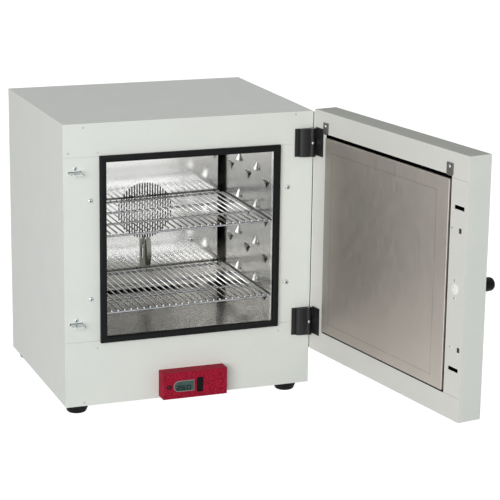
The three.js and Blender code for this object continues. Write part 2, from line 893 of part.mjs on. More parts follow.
function doorFill() {
  const clear = doorSheet + gap;
  return block(
    [-halfWidth + latchCavity, doorOuter + clear, doorBottom + clear],
    [halfWidth - clear, doorInner + panelProud - panelReturn - gap, doorTop - clear],
  );
}

function doorClip(x) {
  const low = openHigh + clipAbove;
  const half = clipWidth / 2;
  return block([x - half, doorInner + gap, low], [x + half, doorInner + gap + clipThick, low + clipHeight]);
}

function knob() {
  const profile = [
    [0, knobThick],
    [knobFace, knobThick],
    [knobRadius, knobThick - knobFaceRound],
    [knobRadius, knobSkirt],
    [knobSkirtRadius, knobSkirtFlare],
    [knobNeckRadius, 0],
    [knobNeckRadius, -knobNeck],
    [0, -knobNeck],
  ]
    .reverse()
    .map(([r, y]) => new THREE.Vector2(r, y));
  const back = doorOuter - gap - knobNeck;
  const shape = new THREE.LatheGeometry(profile, curveSides).rotateX(Math.PI);
  shape.translate(knobX, back, knobHeight);
  const end = back + overrun + knobNeck;
  const bore = bar("y", spindleRadius + gap, back - spindleInKnob, end, knobX, knobHeight);
  return surface(cut(solid(shape), bore));
}

function spindle() {
  const start = doorOuter - knobNeck - spindleInKnob;
  const end = doorInner - doorSheet;
  const crankBack = barFront - gap;
  const half = crankWidth / 2;
  const arm = block([0, crankBack - crankThick, -half], [crankRadius, crankBack, half]);
  const round = bar("y", half, crankBack - crankThick, crankBack, crankRadius, 0);
  const pin = bar("y", crankPinRadius, crankBack - crankThick, crankBack + latchBarSheet, crankRadius, 0);
  for (const piece of [arm, round, pin])
    piece.rotateY((-crankAngle / 2) * degree).translate(knobX, 0, knobHeight);
  return surface(joined(bar("y", spindleRadius, start, end, knobX, knobHeight), arm, round, pin));
}

function spindleBush() {
  const face = doorInner + gap;
  const front = doorInner - bushDepth;
  const body = joined(
    bar("y", bushRadius, face, face + bushFlange, knobX, knobHeight, curveSides),
    bar("y", bushBody, front, face + bushFlange / 2, knobX, knobHeight, curveSides),
  );
  const bore = bar("y", spindleRadius + gap, front - overrun, doorInner - gap, knobX, knobHeight);
  return surface(cut(body, bore));
}

// The bar that slides down inside the free edge: two fingers carry pins that drop into the strikes.
function latchBar() {
  const half = latchBarWidth / 2;
  const lift = strikePlate / 2 + latchTravel + latchPinPlay;
  const top = strikeUpper + lift + latchFinger;
  const low = strikeLower + lift - latchBarEnd;
  const windowHalf = spindleRadius + crankPinPlay;
  const slotMiddle = knobHeight + crankRise;
  const slotTall = crankPinRadius + crankPinPlay;
  const slotIn = crankRadius * Math.cos((crankAngle / 2) * degree) - slotTall;
  const slotOut = crankRadius + slotTall;
  const margin = crankWidth;
  const plateLow = knobHeight - windowHalf - margin;
  const plateHigh = knobHeight + latchTravel + windowHalf + margin;
  const shape = outline([
    [latchX - half, low],
    [latchX + half, low],
    [latchX + half, plateLow],
    [knobX + slotOut + crankSlotMargin, plateLow],
    [knobX + slotOut + crankSlotMargin, plateHigh],
    [latchX + half, plateHigh],
    [latchX + half, top],
    [latchX - half, top],
    [latchX - half, plateHigh],
    [knobX - windowHalf - latchPin, plateHigh],
    [knobX - windowHalf - latchPin, plateLow],
    [latchX - half, plateLow],
  ]);
  const windowTop = knobHeight + latchTravel + windowHalf;
  shape.holes.push(rectangle(knobX - windowHalf, knobX + windowHalf, knobHeight - windowHalf, windowTop));
  shape.holes.push(rectangle(knobX + slotIn, knobX + slotOut, slotMiddle - slotTall, slotMiddle + slotTall));
  const pieces = [plate(shape, barFront, latchBarSheet)];
  const pinBack = -strikeProud + strikeNose + strikeHoleLong - 2 * latchPinPlay;
  for (const z of [strikeUpper, strikeLower]) {
    const under = z + lift;
    const wide = latchPin / 2;
    pieces.push(block([latchX - half, barFront, under], [latchX + half, pinBack, under + latchFinger]));
    const low = [latchX - wide, pinBack - latchPin, under - latchPinReach];
    pieces.push(block(low, [latchX + wide, pinBack, under + latchFinger / 2]));
  }
  return surface(joined(...pieces));
}

// The control box: a shell open at the back.
const housingFront = -gap - housingProud;

function housingOutline(inset) {
  return rectangle(-housingLeft + inset, housingRight - inset, housingBottom + inset, housingTop - inset);
}

// The display's outline: a slot with a round left end and a square right end.
function displayForm(grow, front, back) {
  const tall = displayHeight / 2 + grow;
  const left = -displayLeft + displayHeight / 2;
  const window = block([left, front, displayMiddle - tall], [-displayRight + grow, back, displayMiddle + tall]);
  return surface(joined(window, bar("y", tall, front, back, left, displayMiddle, curveSides)));
}

function controlHousing() {
  const shell = solid(plate(housingOutline(0), housingFront, housingProud));
  const hollow = plate(housingOutline(housingWall), housingFront + housingWall, housingProud);
  const front = housingFront - overrun;
  const back = housingFront + housingWall + overrun;
  const half = rockerWidth / 2 + gap + switchRim;
  const high = rockerHeight / 2 + gap + switchRim;
  const middle = displayMiddle;
  return surface(
    cut(
      shell,
      hollow,
      displayForm(gap, front, back),
      bar("y", lampRadius + gap, front, back, -lampPlace, middle),
      block([rockerPlace - half, front, middle - high], [rockerPlace + half, back, middle + high]),
    ),
  );
}

function displayWindow() {
  return displayForm(0, housingFront - displayProud, housingFront + housingWall);
}

function indicatorLens() {
  const front = housingFront - displayProud;
  return bar("y", lampRadius, front, housingFront + housingWall, -lampPlace, displayMiddle);
}

function switchFrame() {
  const half = rockerWidth / 2;
  const tall = rockerHeight / 2;
  const front = housingFront - switchRimProud;
  const back = housingFront + rockerDepth;
  const outside = block(
    [rockerPlace - half - switchRim, front, displayMiddle - tall - switchRim],
    [rockerPlace + half + switchRim, back, displayMiddle + tall + switchRim],
  );
  const inside = block(
    [rockerPlace - half, front - overrun, displayMiddle - tall],
    [rockerPlace + half, back - housingWall, displayMiddle + tall],
  );
  return surface(cut(solid(outside), inside));
}

// The rocker: its face is a shallow V. It is drawn level and then tipped about its middle to OFF.
const rockerAxisY = housingFront + rockerProud / 2;

function rocker() {
  const half = rockerHeight / 2 - rockerEndGap;
  const shape = outline([
    [-rockerProud, -half],
    [rockerUnder, -half * rockerHeelShare],
    [rockerUnder, half * rockerHeelShare],
    [-rockerProud, half],
    [-rockerProud / 2, 0],
  ]);
  const wide = rockerWidth - 2 * gap;
  const key = new THREE.ExtrudeGeometry(shape, { depth: wide, bevelEnabled: false });
  key.rotateX(Math.PI / 2).rotateZ(Math.PI / 2).translate(-wide / 2, 0, 0);
  return key.rotateX(-rockerAngle * degree).translate(rockerPlace, rockerAxisY, displayMiddle);
}

function controlBoard() {
  const middleX = (housingRight - housingLeft) / 2;
  const middleZ = (housingTop + housingBottom) / 2;
  const halfX = boardWidth / 2;
  const halfZ = boardHeight / 2;
  const back = -gap - boardSetback;
  const pieces = [
    block([middleX - halfX, back - boardThick, middleZ - halfZ], [middleX + halfX, back, middleZ + halfZ]),
  ];
  for (const sideX of [-1, 1])
    for (const sideZ of [-1, 1]) {
      const x = middleX + sideX * (halfX - boardPost);
      const z = middleZ + sideZ * (halfZ - boardPost);
      pieces.push(bar("y", boardPost / 2, back - boardThick / 2, -gap, x, z, rodSides));
    }
  return surface(joined(...pieces));
}

function mainsInlet() {
  const wide = inletWidth / 2;
  const tall = inletHeight / 2;
  const rear = bodyDepth + gap;
  const front = rear + inletProud - inletDepth;
  const x = -inletPlace;
  const body = joined(
    block([x - wide, front, inletMiddle - tall], [x + wide, rear + inletProud, inletMiddle + tall]),
    block(
      [x - wide - inletRim, rear, inletMiddle - tall - inletRim],
      [x + wide + inletRim, rear + inletProud, inletMiddle + tall + inletRim],
    ),
  );
  const hollow = block(
    [x - wide + inletWall, front + inletWall, inletMiddle - tall + inletWall],
    [x + wide - inletWall, rear + inletProud + overrun, inletMiddle + tall - inletWall],
  );
  let inlet = cut(body, hollow);
  for (let i = -1; i <= 1; i++) {
    const low = [x + i * bladePitch - bladeThick / 2, front + inletWall / 2, inletMiddle - bladeWide / 2];
    const high = [x + i * bladePitch + bladeThick / 2, rear - inletProud, inletMiddle + bladeWide / 2];
    inlet = inlet.add(solid(block(low, high)));
  }
  return surface(inlet);
}

// Finishes
function finish(color, roughness, metalness) {
  return new THREE.MeshStandardMaterial({ color, roughness, metalness });
}

const whitePaint = finish(0xdee2dc, 0.5, 0);
const greyPaint = finish(0xc8c8c2, 0.5, 0);
const stainless = finish(0xa8a6a0, 0.25, 1);
const brightSteel = finish(0xd0d2d4, 0.2, 1);
const steel = finish(0x8c8f92, 0.4, 1);
const chrome = finish(0xdadde0, 0.1, 1);
const rubber = finish(0x1c1e20, 0.8, 0);
const blackPlastic = finish(0x1a1a1c, 0.4, 0);
const darkPlastic = finish(0x3a3c3e, 0.5, 0);
const redPaint = finish(0xb81e3a, 0.45, 0);
const windowTint = finish(0x2c3430, 0.2, 0);
const lensRed = finish(0x7a1018, 0.2, 0);
const whiteNylon = finish(0xf0f0ec, 0.5, 0);
const wool = finish(0xc9b98a, 0.9, 0);
const boardGreen = finish(0x2f6b45, 0.6, 0);

const cabinet = new THREE.Group();
cabinet.position.set(halfWidth - footInsetLeft, -footFront, footHeight);

// The door and what rides on it, drawn closed and then turned about the hinge line.
const door = new THREE.Group();
door.position.set(hingeX, hingeY, 0);
door.rotation.z = doorAngle * degree;
cabinet.add(door);

function add(name, geometry, material, onDoor = false) {
  const mesh = new THREE.Mesh(onDoor ? geometry.translate(-hingeX, -hingeY, 0) : geometry, material);
  mesh.name = name;
  (onDoor ? door : cabinet).add(mesh);
}

add("outer_wrap", outerWrap(), whitePaint);
add("base_panel", basePanel(), steel);
add("rear_cover", rearCover(), whitePaint);
add("front_stile_left", frontStile(-1), whitePaint);
add("front_stile_right", frontStile(1), whitePaint);
add("front_rail_top", frontRailTop(), whitePaint);
add("front_rail_bottom", frontRailBottom(), whitePaint);
add("liner_wall_left", linerSide(-1), stainless);
add("liner_wall_right", linerSide(1), stainless);
add("liner_roof", linerLevel(chamberTop), stainless);
add("liner_floor", linerLevel(chamberBottom - linerSheet), stainless);
add("liner_back", linerEnd(), stainless);
add("insulation", insulation(), wool);
add("air_baffle", airBaffle(), stainless);
add("fan_impeller", impeller(), brightSteel);
add("fan_shaft", fanShaft(), steel);
add("fan_motor", fanMotor(), darkPlastic);
add("motor_bracket", motorBracket(), steel);
add("heater_element", heater(), steel);
add("sensor_strip", sensorStrip(), stainless);
add("temperature_probe", temperatureProbe(), brightSteel);
add("door_gasket", doorGasket(), rubber);
add("shelf_upper", wireShelf(upperShelfRow), chrome);
add("shelf_lower", wireShelf(lowerShelfRow), chrome);
add("strike_upper", strike(strikeUpper), brightSteel);
add("strike_lower", strike(strikeLower), brightSteel);
add("control_housing", controlHousing(), redPaint);
add("display_window", displayWindow(), windowTint);
add("indicator_lens", indicatorLens(), lensRed);
add("switch_frame", switchFrame(), blackPlastic);
add("switch_rocker", rocker(), blackPlastic);
add("control_board", controlBoard(), boardGreen);
add("mains_inlet", mainsInlet(), blackPlastic);

for (const [where, z] of Object.entries({ high: frameScrewHigh, low: frameScrewLow }))
  for (const [side, sign] of Object.entries({ left: -1, right: 1 }))
    add(`frame_screw_${side}_${where}`, panScrew(sign * (halfWidth - frameScrewInset), 0, z), brightSteel);

for (const [side, sign] of Object.entries({ left: -1, right: 1 })) {
  const x = sign * baffleScrewOut;
  add(`baffle_screw_${side}`, panScrew(x, baffleFront, fanMiddle - baffleScrewDrop), brightSteel);
  const footX = sign * halfWidth - sign * (sign < 0 ? footInsetLeft : footInsetRight);
  add(`foot_front_${side}`, foot(footX, footFront), rubber);
  add(`foot_rear_${side}`, foot(footX, bodyDepth - footBack), rubber);
}

for (const [where, middle] of Object.entries({ upper: upperHingeMiddle, lower: lowerHingeMiddle })) {
  add(`hinge_leaf_body_${where}`, bodyLeaf(middle), blackPlastic);
  add(`hinge_pin_${where}`, hingePin(middle), steel);
  add(`hinge_leaf_door_${where}`, doorLeaf(middle), blackPlastic, true);
}

add("door_skin", doorSkin(), whitePaint, true);
add("door_frame", doorFrame(), greyPaint, true);
add("door_panel", doorPanel(), stainless, true);
add("door_insulation", doorFill(), wool, true);
add("door_clip_hinge_side", doorClip(halfWidth - clipHingeInset), darkPlastic, true);
add("door_clip_free_side", doorClip(clipFreeInset - halfWidth), darkPlastic, true);
add("door_knob", knob(), blackPlastic, true);
add("knob_spindle", spindle(), steel, true);
add("spindle_bush", spindleBush(), whiteNylon, true);
add("latch_bar", latchBar(), steel, true);

export default cabinet;
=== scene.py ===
"""Looks of a bench drying cabinet with its door open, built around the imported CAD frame. Metres, +Z up."""

import json
from math import atan2, cos, pi, radians, sin

import bmesh
import bpy
from mathutils import Matrix, Vector


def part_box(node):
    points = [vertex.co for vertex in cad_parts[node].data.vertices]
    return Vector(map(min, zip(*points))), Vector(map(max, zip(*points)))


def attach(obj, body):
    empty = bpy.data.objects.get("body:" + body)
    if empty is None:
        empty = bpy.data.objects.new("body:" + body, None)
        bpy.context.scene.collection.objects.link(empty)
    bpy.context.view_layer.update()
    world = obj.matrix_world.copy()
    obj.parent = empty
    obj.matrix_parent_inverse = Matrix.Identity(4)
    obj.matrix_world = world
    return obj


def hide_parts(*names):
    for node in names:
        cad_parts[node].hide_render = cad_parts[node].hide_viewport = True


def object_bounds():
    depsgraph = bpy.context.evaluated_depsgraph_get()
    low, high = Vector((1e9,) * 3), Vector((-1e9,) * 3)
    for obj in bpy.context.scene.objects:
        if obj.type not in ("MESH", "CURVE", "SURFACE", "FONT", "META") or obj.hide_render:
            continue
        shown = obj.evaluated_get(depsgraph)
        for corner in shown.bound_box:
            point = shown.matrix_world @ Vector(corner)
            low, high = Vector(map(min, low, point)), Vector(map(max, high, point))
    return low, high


bl_info = {
    "name": "Drying cabinet",
    "version": (1, 0, 0),
    "blender": (4, 5, 0),
    "location": "View3D > Sidebar > Drying cabinet",
    "description": "Builds the visible pieces and finishes of a bench drying cabinet",
    "category": "Object",
}

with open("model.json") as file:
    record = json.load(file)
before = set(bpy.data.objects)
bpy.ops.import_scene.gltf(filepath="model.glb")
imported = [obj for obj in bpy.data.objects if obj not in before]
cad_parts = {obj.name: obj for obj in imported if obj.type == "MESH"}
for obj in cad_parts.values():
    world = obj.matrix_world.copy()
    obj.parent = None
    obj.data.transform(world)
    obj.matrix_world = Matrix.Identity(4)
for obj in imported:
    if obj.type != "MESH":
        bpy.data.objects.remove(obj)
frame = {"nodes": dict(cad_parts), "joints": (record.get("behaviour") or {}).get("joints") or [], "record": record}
CAD_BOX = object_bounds()
MM = 0.001

# Places read from the frame
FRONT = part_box("front_rail_top")[0].y
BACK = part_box("rear_cover")[1].y
MIDDLE = sum(corner.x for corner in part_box("outer_wrap")) / 2
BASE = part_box("outer_wrap")[0].z
SOLES = CAD_BOX[0].z


def at(x, z, behind=0.0):
    """A place from millimetres right of the cabinet's middle, above its underside and behind its front."""
    return Vector((MIDDLE + x * MM, FRONT + behind * MM, BASE + z * MM))


def door_matrix():
    """Turns a place given with the door shut to the same place with the door as it rests, open."""
    joint = next(j for j in frame["joints"] if j["name"] == "door_hinge")
    pivot = Matrix.Translation(Vector(joint["pos_m"]))
    return pivot @ Matrix.Rotation(radians(-joint["range_deg"][0]), 4, "Z") @ pivot.inverted()


DOOR = door_matrix()
SHUT = Matrix()

# How close to a plane counts as on it
NEAR = 0.05 * MM

# The chamber's sheet, and its pressed shelf tabs, whose places are in millimetres
LINER_SHEET = 1.2 * MM
TAB_SIZE = Vector((6, 16.5, 17)) * MM
TAB_TOP = 445.5
TAB_ROWS = 4
TAB_ROW_PITCH = 82.4
TAB_FIRST = 41.6
TAB_PITCH = 106.5
TAB_SLOT = 14
LEFT_TAB_DROP = 6.5

# The shelves' wires, by radius; the side wires are counted from the middle one to either side
SHELF_FRAME_WIRE = 2.5 * MM
SHELF_WIRE = 1.6 * MM
SHELF_PITCH = 14.1 * MM
SHELF_SIDE_WIRES = 12
SHELF_CROSS_WIRES = 4


def linear(text):
    """An sRGB hex colour as linear red, green, blue and alpha."""
    shares = [int(text[i : i + 2], 16) / 255 for i in (1, 3, 5)]
    return (*[s / 12.92 if s <= 0.04045 else ((s + 0.055) / 1.055) ** 2.4 for s in shares], 1)


def colour_property(name, description, default):
    return bpy.props.FloatVectorProperty(
        name=name, description=description, default=linear(default), size=4, subtype="COLOR", min=0, max=1
    )


class DryingCabinetFinishes(bpy.types.PropertyGroup):
    body_paint: colour_property("Body paint", "Greenish white powder coat of body and door", "#E3E7E1")
    frame_paint: colour_property("Door frame paint", "Pale powder coat inside the door", "#DEDED8")
    box_paint: colour_property("Control box paint", "Red powder coat of the control box", "#9C1B34")
    liner_steel: colour_property("Liner steel", "Bright stainless sheet of the chamber", "#A9A8A6")
    panel_steel: colour_property("Door panel steel", "Satin stainless sheet of the door panel", "#B6B0A9")
    rubber: colour_property("Rubber", "Extruded rubber of the seal", "#0F1011")


class DryingCabinetSizes(bpy.types.PropertyGroup):
    sheet_ease: bpy.props.FloatProperty(
        name="Sheet ease", description="Rounding of folded sheet edges", default=1.2 * MM, unit="LENGTH"
    )
    seal_round: bpy.props.FloatProperty(
        name="Seal rounding", description="Rounding of the seal's front", default=4.6 * MM, unit="LENGTH"
    )
    wire_sides: bpy.props.IntProperty(
        name="Wire sides", description="Faces round each shelf wire", default=12, min=6, max=32
    )
    screw_head: bpy.props.FloatProperty(
        name="Screw head", description="Radius of a pan head", default=5.2 * MM, unit="LENGTH"
    )


class DryingCabinetStage(bpy.types.PropertyGroup):
    key_power: bpy.props.FloatProperty(
        name="Key light", description="Power of the large softbox in watts", default=117, min=0
    )
    sky: bpy.props.FloatProperty(
        name="Sky", description="Level of the even light from all round", default=0.38, min=0
    )
    lens: bpy.props.FloatProperty(
        name="Lens", description="Focal length in millimetres on a 36 mm sensor", default=136.625, min=1
    )


# Mesh helpers


def place(shape, fresh, matrix=SHUT, finish=0):
    """Moves a fresh mesh into place and adds it to the shape, in one finish or, with None, as it is."""
    bmesh.ops.transform(fresh, matrix=matrix, verts=fresh.verts)
    if finish is not None:
        for face in fresh.faces:
            face.material_index = finish
    store = bpy.data.meshes.new("store")
    fresh.to_mesh(store)
    fresh.free()
    shape.from_mesh(store)
    bpy.data.meshes.remove(store)


def bevel(fresh, edges, width, segments):
    """Rounds the given edges."""
    bmesh.ops.bevel(
        fresh, geom=edges, offset=width, offset_type="OFFSET", affect="EDGES", segments=segments, profile=0.5,
        material=-1, clamp_overlap=True,
    )


def near(a, b):
    return abs(a - b) < NEAR


def sharp_edges(fresh):
    """The edges where two faces meet at more than 30 degrees."""
    return [e for e in fresh.edges if len(e.link_faces) == 2 and e.calc_face_angle(0) > radians(30)]


def along(point, direction):
    """A matrix that stands local Z along a direction at a point."""
    turn = Vector(direction).to_track_quat("Z", "Y").to_matrix().to_4x4()
    return Matrix.Translation(Vector(point)) @ turn


def slab(shape, low, high, ease=0.0, matrix=SHUT, finish=0):
    """A block between two corners with all edges rounded."""
    low, high = Vector(low), Vector(high)
    fresh = bmesh.new()
    bmesh.ops.create_cube(fresh, size=1)
    bmesh.ops.scale(fresh, vec=high - low, verts=fresh.verts)
    bmesh.ops.translate(fresh, vec=(low + high) / 2, verts=fresh.verts)
    if ease:
        bevel(fresh, fresh.edges[:], ease, 2)
    place(shape, fresh, matrix, finish)


def rod(shape, start, end, radius, sides, ease=0.0, finish=0):
    """A round bar between two points, with its end rims rounded."""
    start, end = Vector(start), Vector(end)
    fresh = bmesh.new()
    bmesh.ops.create_cone(
        fresh, cap_ends=True, segments=sides, radius1=radius, radius2=radius, depth=(end - start).length,
        matrix=along((start + end) / 2, end - start),
    )
    if ease:
        rims = [e for e in fresh.edges if any(len(f.verts) == sides for f in e.link_faces)]
        bevel(fresh, rims, ease, 2)
    place(shape, fresh, finish=finish)


def turned(shape, profile, matrix, steps, finish=0):
    """A profile of radii and heights, from axis to axis, turned about Z."""
    fresh = bmesh.new()
    verts = [fresh.verts.new((radius, 0, height)) for radius, height in profile]
    edges = [fresh.edges.new(pair) for pair in zip(verts, verts[1:])]
    bmesh.ops.spin(
        fresh, geom=verts + edges, cent=(0, 0, 0), axis=(0, 0, 1), dvec=(0, 0, 0), angle=2 * pi, steps=steps,
        use_merge=True, use_duplicate=False,
    )
    bmesh.ops.remove_doubles(fresh, verts=fresh.verts, dist=1e-6)
    place(shape, fresh, matrix, finish)


def in_mm(profile):
    """The metres of a profile that is given in millimetres."""
    return [(radius * MM, height * MM) for radius, height in profile]


def dome(radius, height):
    """A low domed head's profile."""
    steps = 6
    bends = [pi / 2 * i / steps for i in range(steps)]
    arc = [(radius * cos(bend), height * sin(bend)) for bend in bends]
    return [(0, -0.1 * MM), (radius, -0.1 * MM), *arc, (0, height)]


def piece(name, shape, body, surfaces, replaces=(), smooth=35, easy=True):
    """Makes an object of a shape, and says what it rides on, is finished with and stands for."""
    bmesh.ops.recalc_face_normals(shape, faces=shape.faces)
    mesh = bpy.data.meshes.new(name)
    shape.to_mesh(mesh)
    shape.free()
    for surface in surfaces:
        mesh.materials.append(finishes[surface])
    mesh.shade_smooth()
    mesh.set_sharp_from_angle(angle=radians(smooth))
    obj = bpy.data.objects.new(name, mesh)
    bpy.context.scene.collection.objects.link(obj)
    if easy:
        weighted = obj.modifiers.new("Even shading", "WEIGHTED_NORMAL")
        weighted.keep_sharp = True
    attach(obj, body)
    if replaces:
        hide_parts(*replaces)
    return obj


def node_copy(node, matrix=SHUT):
    """A clean copy of a CAD node's mesh: joined up, with its flat faces whole again."""
    fresh = bmesh.new()
    fresh.from_mesh(frame["nodes"][node].data)
    bmesh.ops.transform(fresh, matrix=matrix, verts=fresh.verts)
    bmesh.ops.remove_doubles(fresh, verts=fresh.verts, dist=3e-6)
    bmesh.ops.dissolve_limit(
        fresh, angle_limit=radians(0.5), verts=fresh.verts, edges=fresh.edges, use_dissolve_boundaries=False
    )
    return fresh


def eased(node, body, surface, width, segments=3, keep=None, matrix=SHUT, smooth=35):
    """A copy of a CAD node with rounded edges, which stands for it."""
    fresh = node_copy(node, matrix.inverted())
    edges = [e for e in sharp_edges(fresh) if keep is None or keep(e)]
    bevel(fresh, edges, width, segments)
    shape = bmesh.new()
    place(shape, fresh, matrix)
    return piece(node + "_shell", shape, body, [surface], [node], smooth)


def on_border(node, matrix=SHUT):
    """A test for edges that lie on the border of a node's own box, so holes stay as cut."""
    fresh = node_copy(node, matrix.inverted())
    spans = [(min(v.co[i] for v in fresh.verts), max(v.co[i] for v in fresh.verts)) for i in range(3)]
    fresh.free()

    def test(edge):
        ends = [v.co for v in edge.verts]
        hits = [any(all(near(end[i], side) for end in ends) for side in span) for i, span in enumerate(spans)]
        return sum(hits) >= 2

    return test


# Finishes

# Millimetres from one slow wave of a thin sheet to the next
SAG_WAVE = 90
# A grain stretched to these shares of its scale is drawn out to upright lines
UPRIGHT_LINES = (1, 1, 0.05)


def add_node(tree, kind, inputs, **settings):
    """Adds a shader node with its settings, values and links, and gives its first output back."""
    node = tree.nodes.new(kind)
    for name, value in settings.items():
        setattr(node, name, value)
    for name, value in inputs.items():
        if isinstance(value, bpy.types.NodeSocket):
            tree.links.new(value, node.inputs[name])
        else:
            node.inputs[name].default_value = value
    return next((socket for socket in node.outputs if socket.enabled), None)


def new_material(name, colour, metallic, roughness, values):
    """A material with one Principled shader, whose plain values sit on its own sockets."""
    made = bpy.data.materials.new(name)
    made.use_nodes = True
    made.diffuse_color = tuple(colour)
    tree = made.node_tree
    tree.nodes.clear()
    plain = {**values, "Base Color": tuple(colour), "Metallic": metallic, "Roughness": roughness}
    surface = add_node(tree, "ShaderNodeBsdfPrincipled", plain)
    add_node(tree, "ShaderNodeOutputMaterial", {"Surface": surface})
    return made, tree, surface.node.inputs


def tinted(colour, factor):
    """A colour made lighter or darker by a factor."""
    return (*[min(1.0, c * factor) for c in tuple(colour)[:3]], 1)


def make_finish(
    name, colour, metallic, roughness, patch, tone, grain, depth,
    stretch=(1, 1, 1), sag=0.0, uneven=0.15, specular=0.5,
):
    """A surface with soft patches of tone and a fine grain, whose sizes and depths are in millimetres.

    The grain also breaks up the gloss, stretch draws it out to lines, and sag is the depth of slow waves.
    One noise lies between about 0.3 and 0.7, and the sum of two between about 0.7 and 1.3.
    """
    made, tree, sockets = new_material(name, colour, metallic, roughness, {"Specular IOR Level": specular})
    spot = add_node(tree, "ShaderNodeTexCoord", {}).node.outputs["Object"]
    lie = add_node(tree, "ShaderNodeMapping", {"Vector": spot, "Scale": stretch})
    slow = add_node(tree, "ShaderNodeTexNoise", {"Vector": spot, "Scale": 1 / (patch * MM), "Detail": 3}).node
    fine = add_node(tree, "ShaderNodeTexNoise", {"Vector": lie, "Scale": 1 / (grain * MM), "Detail": 3}).node
    both = {0: slow.outputs["Fac"], 1: fine.outputs["Fac"]}
    share = add_node(tree, "ShaderNodeMath", both, operation="ADD")
    share = add_node(tree, "ShaderNodeMapRange", {"Value": share, "From Min": 0.7, "From Max": 1.3})
    tones = {0: share, 6: tinted(colour, 1 - tone), 7: tinted(colour, 1 + tone)}
    shade = add_node(tree, "ShaderNodeMix", tones, data_type="RGBA").node.outputs[2]
    tree.links.new(shade, sockets["Base Color"])
    low, high = roughness * (1 - uneven), roughness * (1 + uneven)
    gloss = {"Value": fine.outputs["Fac"], "From Min": 0.3, "From Max": 0.7, "To Min": low, "To Max": high}
    tree.links.new(add_node(tree, "ShaderNodeMapRange", gloss), sockets["Roughness"])
    ridge = {"Height": fine.outputs["Fac"], "Distance": depth * MM, "Strength": 0.6}
    if sag:
        wave = {"Vector": spot, "Scale": 1 / (SAG_WAVE * MM), "Detail": 1}
        wave = add_node(tree, "ShaderNodeTexNoise", wave).node.outputs["Fac"]
        ridge["Normal"] = add_node(tree, "ShaderNodeBump", {"Height": wave, "Distance": sag * MM})
    tree.links.new(add_node(tree, "ShaderNodeBump", ridge), sockets["Normal"])
    return made


